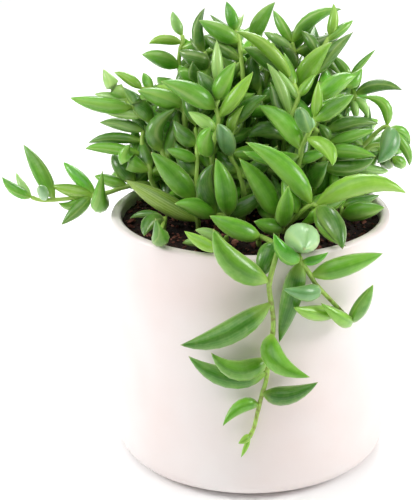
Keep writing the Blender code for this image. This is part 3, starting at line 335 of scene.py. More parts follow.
        [(25.5, 24, 18), (28.5, 33, 22), (30.3, 40, 22), (30.5, 48, 19)],
        [
            (25.8, 25, 26, 31, 30.9, 35.7, 7.2, 12),
            (28.6, 33.5, 40, 33, 49.8, 37, 6.6, 0),
            (30.2, 39.5, 40, 39.5, 50.2, 37.4, 6.4, 6),
            (30.4, 42.5, 41, 45.8, 49.9, 48.1, 5.2, 2),
            (30.5, 47.5, 41, 51, 51.2, 50.4, 6.2, -2),
            (30.4, 44, 29.8, 47.3, 27, 50.4, 4.8, 5),
        ],
    ),
    "shoot_right_arching": (
        (24, 10),
        [(30, 36, -2), (36, 52, 2), (40, 59.5, 3), (41.7, 62, 3), (40.3, 66, 3), (39.8, 69.5, 2)],
        [
            (41, 61, 45, 57.5, 46.6, 52.3, 4.2, -4),
            (40.5, 60, 41.8, 56, 42.3, 51.3, 3.6, 2),
            (41.6, 61.9, 51, 65.9, 60.7, 63.9, 5.3, 3),
            (41, 64, 42.3, 66.5, 44.6, 69.3, 2.9, 3),
            (39.9, 69, 36.3, 73.8, 32.3, 78.2, 4.2, -3),
            (39.8, 69.5, 44.7, 75, 50.1, 80.4, 2.8, -2),
        ],
    ),
    "shoot_right_far": (
        (31, 3),
        [(40, 34, 6), (48, 45, 10), (53.5, 49.3, 11), (56, 48, 11)],
        [
            (39, 32.5, 49.5, 32.2, 56.6, 31.4, 4.4, -4),
            (55, 48.7, 62, 40.5, 63.4, 33.6, 4.6, -3),
            (55.5, 48.5, 61, 47, 63.7, 42, 4.4, -6),
            (54.3, 49, 53.2, 58.3, 44.3, 61.2, 5.0, 2),
            (54.5, 49, 55.6, 42, 50.5, 34.6, 8.0, 9),
        ],
    ),
    "shoot_right_soil": (
        (33, -13),
        [(36.2, 14, 20), (36.3, 18, 19)],
        [
            (36.2, 13.5, 45, 15.7, 53.6, 17, 7.6, 4),
            (36.3, 17.5, 44, 19.5, 51.6, 22, 4.6, -4),
        ],
    ),
    "shoot_left_soil": (
        (-33, -22),
        [(-34.3, 12.6, 26), (-35.4, 9.4, 34), (-36.2, 5.8, 41)],
        [
            (-34.4, 12.4, -42, 14.4, -48.4, 12.6, 3.4, -6),
            (-34.6, 12, -40.4, 10.3, -42.2, 3, 6.5, 10),
            (-36.1, 6.2, -36.2, 2.6, -37.7, 11.6, 7.0, 17),
        ],
    ),
    "shoot_front_rim": (
        (-9, -34),
        [(-10, 4.5, 44), (-12, 2.5, 52), (-13, -0.8, 58.5)],
        [
            (-10.5, 4.3, -20.5, 3.4, -27.4, 2.4, 4.8, -2),
            (-10.8, 4, -17, 6.8, -22.3, 8, 4.3, 0),
            (-12.8, -0.3, -20, 3.2, -26.6, 7.6, 5.1, -4),
        ],
    ),
    "shoot_top_left": (
        (-6, 6),
        [(-14, 40, 6), (-18.5, 58, 10), (-20.3, 67, 9), (-17, 73.5, 7), (-18.7, 79.5, 5)],
        [
            (-20.2, 66.5, -25.5, 70, -28.3, 73.6, 5.4, 2),
            (-20.2, 68, -23.6, 71, -23.2, 75, 4.6, 9),
            (-17.2, 73.5, -23, 76, -29.6, 80.1, 7.8, 2),
            (-18.6, 79, -21.3, 88, -18.2, 97, 5.0, 0),
            (-18.4, 78, -21.5, 81.5, -24.4, 84.9, 3.0, -4),
        ],
    ),
}

# The shoots inside and at the back follow a rule: short ones in the middle, upright ones behind them,
# arching ones round those, and two that trail over the rim. Each row: name, how many, first and last
# compass angle in degrees (0 is +X, 90 is straight back), root radius, how far the tip goes out, how
# far it rises and droops, how many leaves each has, and where up the stem the first one stands.
INNER_SHOOTS = (
    ("shoot_inner", 4, 2, 186, 17, 9, 34, 2, 6, 0.2),
    ("shoot_back_upright", 5, 14, 150, 21, 21, 62, 4, 8, 0.22),
    ("shoot_back_arching", 7, 12, 168, 35, 25, 36, 14, 6, 0.25),
    ("shoot_back_trailing", 2, 62, 118, 44, 15.5, 20, 62, 6, 0.35),
)
INNER_LEAF_LENGTH = (22.0, 28.0)
INNER_LEAF_WIDTH = (6.4, 8.4)
INNER_STEM_POINTS = 5
STEM_SWAY = 4.0
ANGLE_JITTER = 1.5

# A leaf of an inner shoot heads partly along its stem, partly out to one side of it and partly away
# from the middle of the pot. On the shoots that hang over the wall it leans away from the wall.
ALONG_STEM = 0.55
TO_ONE_SIDE = 0.9
FROM_MIDDLE = 0.3
WALL_LEAN = 0.35
GOLDEN_ANGLE = math.radians(137.5)
SEED = 11

# More leaves hide the lower stems of the front shoots, on the side away from the eye
FILL_SPACING = 8.0
FILL_LOWEST = 7.0
FILL_MOST = 2
FILL_LENGTH = (17.0, 22.0)
FILL_WIDTH = (5.6, 7.2)
FILL_SEED = 23

# The crown's outline as the eye in front sees it (across, up). The inner shoots stay within it, and
# their leaves are behind the leaves of the front shoots by at least BEHIND. A stem ends STEM_MARGIN
# inside the outline. Stems and leaves get so many tries, each shorter than the one before.
CROWN_OUTLINE = (
    (-51, 21), (-55.5, 28), (-55.5, 36), (-51, 41), (-47, 49), (-51.5, 55), (-50.5, 61), (-45, 66.5),
    (-39.5, 69), (-32, 71), (-30, 78), (-27, 85.5), (-21.5, 92), (-11.5, 92.5), (-4, 91), (4.5, 96),
    (9.5, 97.5), (13, 94.5), (16, 89), (20.5, 93), (33.5, 96.5), (39.5, 90.5), (34, 80), (34, 72),
    (41, 69), (50, 65), (54, 58), (55.5, 49), (61.5, 43), (62.5, 36), (56, 33), (50, 29), (51.5, 18),
    (46, 14), (36, 13), (-12, 13), (-33, 17), (-43, 21),
)
OUTLINE_SAMPLES = 8
BEHIND = 1.0
TRIES = 10
SHORTENING = 0.06
STEM_MARGIN = 5.0

# How leaves are bent clear of each other. Leaves of one shoot may touch within LEAF_FOOT of their
# length from the stem, where they are fused to it.
TOUCH_GAP = 0.6
SAMPLE_SPACING = 2.3
THINNEST_SAMPLE = 1.2
SETTLING_STEPS = 260
FREE_STEPS = 100
PULL_BACK = 0.02
LENGTH_EASE = 0.1
DEPTH_EASE = 3.0
FRONT_MOBILITY = 1.0
INNER_MOBILITY = 4.0
STEM_MOBILITY = 0.5
SEARCH_MARGIN = 5.0
SEARCH_EVERY = 10
LEAF_FOOT = 0.42

# The hue of each front leaf, one letter a leaf in the order above: d dark, m middling, s strong,
# l lime, p pale, b bluish with bloom, g grey-green, o old and striped.
FRONT_HUES = {
    "shoot_reaching_left": "dmmsldmmbsp",
    "shoot_front_fork": "mldmm",
    "shoot_front_upright": "mmm",
    "shoot_trailing_right": "bssdmgllm",
    "shoot_trailing_front": "mdmdmmddmll",
    "shoot_front_left": "mdm",
    "shoot_old_leaf": "ommdd",
    "shoot_left_low": "dmmdp",
    "shoot_left_high": "ddpmpp",
    "shoot_left_back": "mlp",
    "shoot_left_middle": "mllm",
    "shoot_centre_left": "mplmmdp",
    "shoot_centre_low": "dgld",
    "shoot_top_centre": "dmdsp",
    "shoot_top_middle": "md",
    "shoot_top_right_back": "dpmm",
    "shoot_top_right": "lddml",
    "shoot_right_top": "mmlgbmlm",
    "shoot_centre_top": "dpplmld",
    "shoot_right_middle": "ddmmdd",
    "shoot_right_arching": "ppddmm",
    "shoot_right_far": "pmmmg",
    "shoot_right_soil": "md",
    "shoot_left_soil": "ddd",
    "shoot_front_rim": "ppl",
    "shoot_top_left": "mdddd",
}
BACK_HUES = "mdmsdmmd"
HUE_NAMES = {
    "d": "dark", "m": "middling", "s": "strong", "l": "lime", "p": "pale", "b": "bloomed",
    "g": "grey_green", "o": "old",
}
HUE_JITTER = 0.1
STRIPINESS = {"o": 1.0, "p": 0.3, "d": 0.18}
USUAL_STRIPINESS = 0.12

# A fine leaf: its rings from stalk to point, each with its share of the full half-width, and how
# many sides it has, more on a wider leaf. Leaves that are hidden among others need fewer. It is a
# little fuller and thicker than its solid. Above the rim its upper face looks up, below it out.
FINE_PROFILE = (
    (0.0, 0.0), (0.03, 0.24), (0.08, 0.48), (0.15, 0.74), (0.24, 0.92), (0.35, 1.0), (0.48, 0.98),
    (0.61, 0.87), (0.74, 0.67), (0.86, 0.41), (0.95, 0.16), (1.0, 0.0),
)
SIDES_TO_WIDTH = 1.45
FEWEST_SIDES = 8
HIDDEN_PROFILE = (
    (0.0, 0.0), (0.06, 0.28), (0.17, 0.7), (0.34, 0.98), (0.54, 0.97), (0.74, 0.7), (0.9, 0.32),
    (1.0, 0.0),
)
HIDDEN_SIDES = 8
STALK_RADIUS = 0.62
STALK_END = 0.1
FULLNESS = 1.08
THICKENING = (1.02, 1.12)
LOOKS_UP_ABOVE_RIM = 1.2
LOOKS_UP_BELOW_RIM = 0.25
TANGENT_STEP = 0.02

# A fine stem, with a swelling and a trace of cork where each leaf stands and more cork at its foot
FINE_STEM_SIDES = 8
FINE_STEM_STEP = 1.7
NODE_SWELLING = 0.16
NODE_LENGTH = 1.2
STEM_SLIMMING = 0.94
NODE_CORK = 0.04
FOOT_CORK = 0.4
CORKY_HEIGHT = 9.0

# The thicket: more leaves behind the ones that are seen. One stands at every step along a stem, from
# just above the soil to a little before the tip. It keeps inside the pot's wall until it is well over
# the rim, and may come closer to others near its own stem.
THICKET_STEP = 5.5
THICKET_FIRST = 1.1
THICKET_LAST = 1.3
THICKET_TRIES = 18
THICKET_LENGTH = (17.0, 26.0)
THICKET_WIDTH = (5.6, 8.0)
THICKET_OVERLAP = 1.3
THICKET_RISE = 0.5
THICKET_FOOT = 0.3
THICKET_FOOT_ROOM = 3.0
THICKET_NEAREST_SAMPLE = 0.12
RIM_MARGIN = 3.0
OVER_RIM = 5.0
THICKET_SEED = 31

# The fine pot and compost
FINE_POT_SEGMENTS = 128
FOOT_CHAMFER = 0.3
POT_SHARP_ANGLE = 50.0
FINE_SOIL_STEP = 1.1
FINE_SOIL_SEGMENTS = 128
CLOD_HEIGHT = 0.8
CLODS_PER_MM = 0.35

# Bark crumbs: their widths and heights as shares of their length, how much their lengths differ, how
# uneven they are, how high they sit and how far from the wall they stay
CRUMB_WIDTH = (0.45, 0.8)
CRUMB_HEIGHT = (0.3, 0.6)
CRUMB_SPREAD = 0.45
CRUMB_JAG = 0.22
CRUMB_SEAT = 0.15
CRUMB_MARGIN = 1.5
CRUMB_HUES = ("#33180f", "#5a3026", "#7d4a3c", "#1f0d09", "#9a6453", "#45231a")
CRUMB_SEED = 5

# Real sizes of the patterns, in millimetres. The pinstripes, the grain of the bark and the unevenness
# of the glaze are really about half as wide, which is too fine to show, so they are drawn this coarse.
LEAF_MOTTLE = 2.2
LEAF_CLOUD = 14.0
LEAF_GIRTH = 22.0
PINSTRIPE_SPACING = 0.9
PINSTRIPE_WAVER = 0.5
STEM_PATCH = 2.2
CLOD_SIZE = 3.0
GRIT_SIZE = 1.4
BARK_FIBRE = 1.0
GLAZE_POOLING = 45.0
GLAZE_PEEL = 1.9

# Heights of the relief that these patterns give the surface, in millimetres
LEAF_RELIEF = 0.12
STEM_RELIEF = 0.2
COMPOST_RELIEF = 0.6
BARK_RELIEF = 0.3
GLAZE_RELIEF = 0.06

# Tints within the skins. DEEPER multiplies a leaf's own hue (linear); it also paints the darker
# middle of each leaf.
WAX_SHEEN = "#e0f0b0"
# Pale leaf tint: the leaf's own flecks and pinstripes, and painted highlight on its flanks and margins
PALE_MARKS_AND_PAINTED_RIM = "#d2e68c"
DRY_POINT = "#b9ad70"
DEEPER = (0.42, 0.55, 0.2)
CORK = "#80803c"
# Near black: painted shade in the hollows of the compost's clods
PAINTED_PEAT_SHADE = "#080403"
PEAT_FIBRE = "#4a2a22"
# Near black: painted shade in the hollows of the bark's fibre
PAINTED_BARK_SHADE = "#0c0605"
POOLED_GLAZE = "#ebdcd8"

# The stage, in metres: the floor's half-width, where the skylight comes from, and each softbox's
# place, width and power as a share of the left one's
FLOOR_REACH = 4.0
SKYLIGHT_FROM = (-0.2, -0.3, 1.0)
SOFTBOXES = {
    "softbox_left": ((-0.8, -0.05, 0.5), 0.35, 1.0),
    "softbox_right": ((0.8, -0.1, 0.5), 0.4, 1.35),
    "softbox_back": ((0.1, 0.9, 0.8), 0.6, 2.0),
}
SENSOR_WIDTH = 36.0

# Sockets of a colour Mix node
COLOUR_A = 6
COLOUR_B = 7
COLOUR_OUT = 2


def seen(across, up, towards):
    """The place, in the pot's own axes, that shows at (across, up) and lies that much nearer the eye."""
    rise = np.array([0.0, math.sin(VIEW_ELEVATION), math.cos(VIEW_ELEVATION)])
    to_eye = np.array([0.0, -math.cos(VIEW_ELEVATION), math.sin(VIEW_ELEVATION)])
    scale = 1 - towards / VIEW_DISTANCE
    flat = scale * (across * np.array([1.0, 0.0, 0.0]) + up * rise)
    return np.array(VIEW_CENTRE) + flat + towards * to_eye


def curve_weights(count, place):
    """How much each of count points weighs at a place, 0 to count - 1, on the curve through them."""
    first = min(int(place), count - 2)
    f = place - first
    cubic = (
        -0.5 * f + f**2 - 0.5 * f**3,
        1 - 2.5 * f**2 + 1.5 * f**3,
        0.5 * f + 2 * f**2 - 1.5 * f**3,
        -0.5 * f**2 + 0.5 * f**3,
    )
    weights = np.zeros(count)
    for offset, weight in enumerate(cubic):
        weights[min(max(first - 1 + offset, 0), count - 1)] += weight
    return weights


def arc_weights(along):
    """Weights of a leaf's stalk, middle and point at a place, 0 to 1, on the arc through them."""
    u = along
    return np.array([(1 - u) * (1 - 2 * u), 4 * u * (1 - u), u * (2 * u - 1)])


def leaf_corners(inner):
    """Weights of a leaf's stalk, middle and point at each ring of its mesh."""
    return np.array([arc_weights(place) for place, _ in leaf_stations(inner)])


def leaf_stations(inner):
    """A leaf's stations: an inner leaf has fewer."""
    return INNER_LEAF_STATIONS if inner else LEAF_STATIONS


def stem_corners(stem):
    """Weights of a stem's points at each corner of its mesh."""
    count = len(stem)
    length = np.linalg.norm(np.diff(stem, axis=0), axis=1).sum()
    steps = max(count, round(length / STEM_STEP) + 1)
    places = np.concatenate([[0.0], np.linspace(1, count - 1, steps)])
    return np.array([curve_weights(count, place) for place in places])


def chord_samples(corners, points):
    """Places, counted in corners, along the straight chords between them, with the weights of each."""
    for number, (near, far) in enumerate(zip(corners, corners[1:])):
        samples = math.ceil(np.linalg.norm((far - near) @ points) / SAMPLE_SPACING)
        for sample in range(samples):
            share = (sample + 0.5) / samples
            yield number + share, near + share * (far - near)


def rooted(root, points):
    """A stem's points, with two more that hold its root upright in the soil."""
    below = (root[0], root[1], SOIL_TOP - ROOT_DEPTH)
    above = (root[0], root[1], SOIL_TOP + 2 * STEM_RADIUS)
    return np.array([below, above, *points])


def front_shoot(root, stem_seen, leaves_seen):
    """A shoot from its row of FRONT_SHOOTS. A leaf starts at the stem's nearest place, as seen."""
    stem = rooted(root, [seen(*place) for place in stem_seen])
    stem_flat = np.array([[0, 0, 0], [0, 0, 0], *stem_seen], float)
    start = stem[1] - np.array(VIEW_CENTRE)
    towards = start[2] * math.sin(VIEW_ELEVATION) - start[1] * math.cos(VIEW_ELEVATION)
    up = start[1] * math.sin(VIEW_ELEVATION) + start[2] * math.cos(VIEW_ELEVATION)
    scale = 1 - towards / VIEW_DISTANCE
    stem_flat[:2] = (start[0] / scale, up / scale, towards)
    leaves = []
    places = np.linspace(1, len(stem) - 1, 40 * len(stem))
    flat = np.array([curve_weights(len(stem), place) @ stem_flat for place in places])
    for from_a, from_b, mid_a, mid_b, tip_a, tip_b, width, reach in leaves_seen:
        best = np.argmin(np.hypot(flat[:, 0] - from_a, flat[:, 1] - from_b))
        depth = flat[best, 2]
        leaves.append({
            "at": curve_weights(len(stem), places[best]),
            "middle": seen(mid_a, mid_b, depth + MIDDLE_REACH * reach),
            "point": seen(tip_a, tip_b, depth + reach),
            "width": width * (1 - depth / VIEW_DISTANCE),
            "inner": False,
        })
    return {"stem": stem, "leaves": leaves}


def seen_balls(points, radii):
    """Balls as the eye sees them, each by its place across, up and towards it, and its radius."""
    points = points - VIEW_CENTRE
    up = points[:, 1] * math.sin(VIEW_ELEVATION) + points[:, 2] * math.cos(VIEW_ELEVATION)
    towards = points[:, 2] * math.sin(VIEW_ELEVATION) - points[:, 1] * math.cos(VIEW_ELEVATION)
    scale = 1 - towards / VIEW_DISTANCE
    return np.stack([points[:, 0] / scale, up / scale, towards, radii / scale], axis=1)


def seen_leaf(leaf, stem):
    """A leaf as the eye sees it, as a row of balls."""
    places = np.linspace(0.15, 1, OUTLINE_SAMPLES)
    controls = np.array([leaf["at"] @ stem, leaf["middle"], leaf["point"]])
    points = np.array([arc_weights(place) for place in places]) @ controls
    share = np.interp(places, *np.array(leaf_stations(leaf["inner"])).T)
    return seen_balls(points, 0.5 * leaf["width"] * share)


def within_crown(balls):
    """Whether the centre of each ball lies within the crown's outline."""
    corners = np.array(CROWN_OUTLINE)
    ends = np.roll(corners, -1, axis=0)
    across, up = balls[:, None, 0], balls[:, None, 1]
    crosses = (corners[:, 1] > up) != (ends[:, 1] > up)
    rise = np.where(ends[:, 1] == corners[:, 1], 1, ends[:, 1] - corners[:, 1])
    edge = corners[:, 0] + (up - corners[:, 1]) / rise * (ends[:, 0] - corners[:, 0])
    return (crosses & (across < edge)).sum(axis=1) % 2 == 1


def stays_behind(balls, shown):
    """Whether a leaf's balls lie within the crown's outline and nowhere in front of a shown leaf."""
    across, up = balls[:, None, 0], balls[:, None, 1]
    apart = np.hypot(across - shown[:, 0], up - shown[:, 1]) - balls[:, None, 3] - shown[:, 3]
    ahead = balls[:, None, 2] > shown[:, 2] - BEHIND
    return within_crown(balls).all() and not (ahead & (apart < 0)).any()


def fill_leaves(draw, stem, lowest, shown):
    """Leaves on the bare lower part of a front shoot's stem, up to the place of its lowest leaf."""
    foot = curve_weights(len(stem), 1) @ stem
    bare = np.linalg.norm(curve_weights(len(stem), lowest) @ stem - foot)
    count = min(int((bare - FILL_LOWEST) / FILL_SPACING + 1), FILL_MOST) if bare > FILL_LOWEST else 0
    leaves = []
    for number in range(count):
        share = (FILL_LOWEST + (number + 0.5) * (bare - FILL_LOWEST) / count) / bare
        at = curve_weights(len(stem), 1 + share * (lowest - 1))
        start = at @ stem
        for _ in range(TRIES):
            heading = [draw.uniform(-1, 1), draw.uniform(0.2, 1.2), draw.uniform(0.4, 1.1)]
            length = draw.uniform(*FILL_LENGTH)
            point = start + length * np.array(heading) / np.linalg.norm(heading)
            leaf = {
                "at": at,
                "middle": 0.5 * (start + point) + np.array([0, 0, -LEAF_SAG * length]),
                "point": point,
                "width": draw.uniform(*FILL_WIDTH),
                "inner": True,
            }
            if stays_behind(seen_leaf(leaf, stem), shown):
                leaves.append(leaf)
                break
    return leaves


def inner_shoot(draw, shown, angle, root_radius, out, rise, droop, leaf_count, first_leaf):
    """A shoot that heads out at an angle, with leaves that turn round its stem as they go up."""
    outward = np.array([math.cos(angle), math.sin(angle), 0.0])
    side = np.array([-outward[1], outward[0], 0.0])
    sway = draw.uniform(-STEM_SWAY, STEM_SWAY)
    trails = droop > rise
    t = np.arange(1, INNER_STEM_POINTS + 1)[:, None] / INNER_STEM_POINTS
    for attempt in range(TRIES):
        size = 1 - SHORTENING * attempt
        height = SOIL_TOP + 2 * STEM_RADIUS + size * (rise * (1 - (1 - t) ** 2) - droop * t**3)
        points = (root_radius + size * out * t) * outward + sway * t * side + height * [0, 0, 1]
        if trails or within_crown(seen_balls(points[-1:] + STEM_MARGIN * outward, 0)).all():
            break
    stem = rooted(root_radius * outward[:2], list(points))
    leaves = []
    turn = draw.uniform(0, 2 * math.pi)
    for number in range(leaf_count):
        share = first_leaf + (1 - first_leaf) * number / (leaf_count - 1)
        place = 1 + (len(stem) - 2) * share
        at = curve_weights(len(stem), place)
        behind = curve_weights(len(stem), max(place - 0.5, 0.5)) @ stem
        start = at @ stem
        tangent = (start - behind) / np.linalg.norm(start - behind)
        across = np.cross(tangent, outward + np.array([0, 0, 0.5]))
        across /= np.linalg.norm(across)
        other = np.cross(across, tangent)
        for attempt in range(TRIES):
            size = 1 - SHORTENING * attempt
            around = turn + (number + attempt) * GOLDEN_ANGLE + draw.uniform(-0.3, 0.3)
            spread = math.cos(around) * across + math.sin(around) * other + FROM_MIDDLE * outward
            heading = ALONG_STEM * tangent + TO_ONE_SIDE * spread / np.linalg.norm(spread)
            heading /= np.linalg.norm(heading)
            if root_radius + out > POT_RADIUS:
                heading += max(0.0, WALL_LEAN - heading @ outward) * outward
                heading /= np.linalg.norm(heading)
            length = size * draw.uniform(*INNER_LEAF_LENGTH)
            point = start + length * heading
            leaf = {
                "at": at,
                "middle": 0.5 * (start + point) + np.array([0, 0, -LEAF_SAG * length]),
                "point": point,
                "width": math.sqrt(size) * draw.uniform(*INNER_LEAF_WIDTH),
                "inner": True,
            }
            last_resort = number == leaf_count - 1 and attempt == TRIES - 1
            if trails or last_resort or stays_behind(seen_leaf(leaf, stem), shown):
                leaves.append(leaf)
                break
    return {"stem": stem, "leaves": leaves}


def all_shoots():
    """Every shoot as it is placed, before the leaves are bent clear of each other."""
    shoots = {name: front_shoot(*layout) for name, layout in FRONT_SHOOTS.items()}
    shown = np.concatenate(
        [seen_leaf(leaf, s["stem"]) for s in shoots.values() for leaf in s["leaves"]]
    )
    draw = np.random.default_rng(FILL_SEED)
    for shoot in shoots.values():
        lowest = min(np.argmax(leaf["at"]) for leaf in shoot["leaves"])
        shoot["leaves"] += fill_leaves(draw, shoot["stem"], lowest, shown)
    draw = np.random.default_rng(SEED)
    for name, count, first, last, *shape in INNER_SHOOTS:
        for number in range(count):
            angle = math.radians(first + (last - first) * number / (count - 1))
            angle += math.radians(draw.uniform(-ANGLE_JITTER, ANGLE_JITTER))
            shoots[f"{name}_{number + 1}"] = inner_shoot(draw, shown, angle, *shape)
    return shoots


class Layout:
    """Every stem and leaf as rows of small balls, each a weighted mean of the points that steer it."""

    def __init__(self, shoots):
        total = sum(len(s["stem"]) + 2 * len(s["leaves"]) for s in shoots.values())
        self.steer = np.zeros((total, 3))
        self.locked = np.zeros(total, bool)
        self.slots = {}
        rows, radii, owners, pieces, along, mobility = [], [], [], [], [], []
        leaf_slots, stalks = [], []

        def add(row, radius, owner, piece, place, freedom):
            rows.append(row)
            radii.append(radius)
            owners.append(owner)
            pieces.append(piece)
            along.append(place)
            mobility.append(freedom)

        used = 0
        for owner, (name, shoot) in enumerate(shoots.items()):
            stem = shoot["stem"]
            self.slots[name] = used
            self.steer[used:used + len(stem)] = stem
            self.locked[used:used + 2] = True
            ends = slice(used, used + len(stem))
            for _, weights in chord_samples(stem_corners(stem)[1:], stem):
                row = np.zeros(total)
                row[ends] = weights
                add(row, STEM_RADIUS, owner, -1, 0.0, STEM_MOBILITY)
            used += len(stem)
            for piece, leaf in enumerate(shoot["leaves"]):
                freedom = INNER_MOBILITY if leaf["inner"] else FRONT_MOBILITY
                self.steer[used] = leaf["middle"]
                self.steer[used + 1] = leaf["point"]
                line = np.array([leaf["at"] @ stem, leaf["middle"], leaf["point"]])
                places, shares = np.array(leaf_stations(leaf["inner"])).T
                for corner, weights in chord_samples(leaf_corners(leaf["inner"]), line):
                    row = np.zeros(total)
                    row[ends] = weights[0] * leaf["at"]
                    row[used:used + 2] = weights[1:]
                    share = np.interp(corner, range(len(shares)), shares)
                    place = np.interp(corner, range(len(places)), places)
                    radius = max(0.5 * leaf["width"] * share, THINNEST_SAMPLE)
                    add(row, radius, owner, piece, place, freedom)
                stalk = np.zeros(total)
                stalk[ends] = leaf["at"]
                stalks.append(stalk)
                leaf_slots.append(used)
                used += 2
        self.rows = np.array(rows)
        self.radii = np.array(radii)
        self.owners = np.array(owners)
        self.pieces = np.array(pieces)
        self.along = np.array(along)
        self.mobility = np.array(mobility)
        self.leaf_slots = np.array(leaf_slots)
        self.stalks = np.array(stalks)
        self.half_lengths = self.leaf_halves()

    def leaf_halves(self):
        """How long each leaf's stalk half and tip half are."""
        start = self.stalks @ self.steer
        middle, point = self.steer[self.leaf_slots], self.steer[self.leaf_slots + 1]
        halves = np.array([middle - start, point - middle])
        return np.linalg.norm(halves, axis=2)

    def keep_lengths(self):
        """Eases both halves of every leaf back to the length they were placed with."""
        start = self.stalks @ self.steer
        for half, ends in enumerate((self.leaf_slots, self.leaf_slots + 1)):
            reach = self.steer[ends] - start
            wanted = self.half_lengths[half] / np.linalg.norm(reach, axis=1)
            self.steer[ends] += LENGTH_EASE * (wanted - 1)[:, None] * reach
            start = self.steer[ends]

    def pairs(self, balls, margin):
        """Pairs of balls of different shoots, or of different leaves well away from their stem."""
        first, second = [], []
        for index in range(len(balls) - 1):
            rest = slice(index + 1, None)
            reach = self.radii[index] + self.radii[rest] + margin
            near = np.linalg.norm(balls[rest] - balls[index], axis=1) < reach
            same = self.owners[rest] == self.owners[index]
            leafy = (self.pieces[rest] >= 0) & (self.pieces[index] >= 0)
            apart = leafy & (self.pieces[rest] != self.pieces[index])
            outer = (self.along[rest] > LEAF_FOOT) & (self.along[index] > LEAF_FOOT)
            found = np.nonzero(near & (~same | (apart & outer)))[0] + index + 1
            first.append(np.full(len(found), index))
            second.append(found)
        return np.concatenate(first), np.concatenate(second)

    def shove_apart(self, balls, first, second):
        """Moves that part touching pairs, more readily towards and away from the eye than across."""
        gap = balls[first] - balls[second]
        distance = np.maximum(np.linalg.norm(gap, axis=1), 1e-6)
        short = self.radii[first] + self.radii[second] + TOUCH_GAP - distance
        hit = short > 0
        first, second, short = first[hit], second[hit], short[hit]
        line = gap[hit] / distance[hit, None]
        to_eye = np.array([0.0, -math.cos(VIEW_ELEVATION), math.sin(VIEW_ELEVATION)])
        eased = line + (DEPTH_EASE - 1) * (line @ to_eye)[:, None] * to_eye
        eased /= np.linalg.norm(eased, axis=1)[:, None]
        size = short / np.maximum((line * eased).sum(axis=1), 0.3)
        share = self.mobility[first] / (self.mobility[first] + self.mobility[second])
        moves = np.zeros_like(balls)
        np.add.at(moves, first, (share * size)[:, None] * eased)
        np.add.at(moves, second, -((1 - share) * size)[:, None] * eased)
        touched = np.zeros(len(balls))
        np.add.at(touched, first, 1)
        np.add.at(touched, second, 1)
        return moves, touched

    def shove_off_pot(self, balls, moves, touched):
        """Lifts balls off the soil and the rim, and keeps them outside the pot's wall."""
        room = self.radii + TOUCH_GAP
        radial = np.maximum(np.hypot(balls[:, 0], balls[:, 1]), 1e-6)
        outward = balls * [1, 1, 0] / radial[:, None]
        inner = POT_RADIUS - WALL
        sunk = SOIL_TOP + SOIL_MOUND + room - balls[:, 2]
        over_soil = (radial < inner) & (sunk > 0) & (self.pieces >= 0)
        moves[over_soil, 2] += sunk[over_soil]
        touched[over_soil] += 1
        lift = POT_HEIGHT + room - balls[:, 2]
        push = POT_RADIUS + room - radial
        in_rim = (lift > 0) & (push > 0) & (radial > inner - room)
        raise_it = in_rim & ((lift < push) | (radial < inner + 0.5 * WALL))
        send_out = in_rim & ~raise_it
        moves[raise_it, 2] += lift[raise_it]
        moves[send_out] += outward[send_out] * push[send_out, None]
        touched[in_rim] += 1

    def settle(self):
        """Bends stems and leaves until none touches another, near to where each was placed."""
        start = self.steer.copy()
        spread = self.rows / np.maximum((self.rows**2).sum(axis=1), 1e-6)[:, None]
        weight = np.abs(self.rows)
        for step in range(SETTLING_STEPS):
            balls = self.rows @ self.steer
            if step % SEARCH_EVERY == 0:
                first, second = self.pairs(balls, SEARCH_MARGIN)
            moves, touched = self.shove_apart(balls, first, second)
            self.shove_off_pot(balls, moves, touched)
            change = spread.T @ moves / np.maximum(weight.T @ touched, 1.0)[:, None]
            if step < SETTLING_STEPS - FREE_STEPS:
                change += PULL_BACK * (start - self.steer)
            change[self.locked] = 0
            self.steer += change
            self.keep_lengths()


def linear(hex_colour):
    """An sRGB hex colour as linear red, green and blue."""
    values = [int(hex_colour[i:i + 2], 16) / 255 for i in (1, 3, 5)]
    return [v / 12.92 if v <= 0.04045 else ((v + 0.055) / 1.055) ** 2.4 for v in values]


def colour(name, description, hex_colour):
    """A colour that a user can change."""
    return FloatVectorProperty(
        name=name, description=description, default=linear(hex_colour), subtype="COLOR", min=0, max=1
    )


def node(tree, kind, settings=None, links=None):
    """Adds a node, sets its properties and inputs, and links its inputs to other outputs."""
    made = tree.nodes.new(kind)
    for key, value in (settings or {}).items():
        if isinstance(key, str) and hasattr(made, key):
            setattr(made, key, value)
        else:
            made.inputs[key].default_value = value
    for key, output in (links or {}).items():
        tree.links.new(output, made.inputs[key])
    return made


def new_material(name, sockets):
    """A material whose shader has these values, its node tree, shader and Object coordinates."""
    material = bpy.data.materials.new(name)
    material.use_nodes = True
    tree = material.node_tree
    shader = tree.nodes["Principled BSDF"]
    for key, value in sockets.items():
        shader.inputs[key].default_value = value
    place = node(tree, "ShaderNodeTexCoord").outputs["Object"]
    return material, tree, shader, place


def pinstripes(tree, across, above, waver, striped):
    """Lines a real pinstripe's spacing apart, counted round the leaf's girth."""
    turn = node(tree, "ShaderNodeMath", {"operation": "ARCTAN2"}, {0: above, 1: across}).outputs[0]
    turn = node(
        tree, "ShaderNodeMath", {"operation": "MULTIPLY_ADD", 1: PINSTRIPE_WAVER},
        {0: waver, 2: turn},
    ).outputs[0]
    count = round(LEAF_GIRTH / PINSTRIPE_SPACING)
    turn = node(
        tree, "ShaderNodeMath", {"operation": "MULTIPLY", 1: float(count)}, {0: turn}
    ).outputs[0]
    wave = node(tree, "ShaderNodeMath", {"operation": "SINE"}, {0: turn}).outputs[0]
    stripes = node(
        tree, "ShaderNodeMapRange", {"From Min": -0.5, "From Max": 1.0, "To Max": 0.6},
        {"Value": wave},
    ).outputs[0]
    return node(
        tree, "ShaderNodeMath", {"operation": "MULTIPLY"}, {0: stripes, 1: striped}
    ).outputs[0]


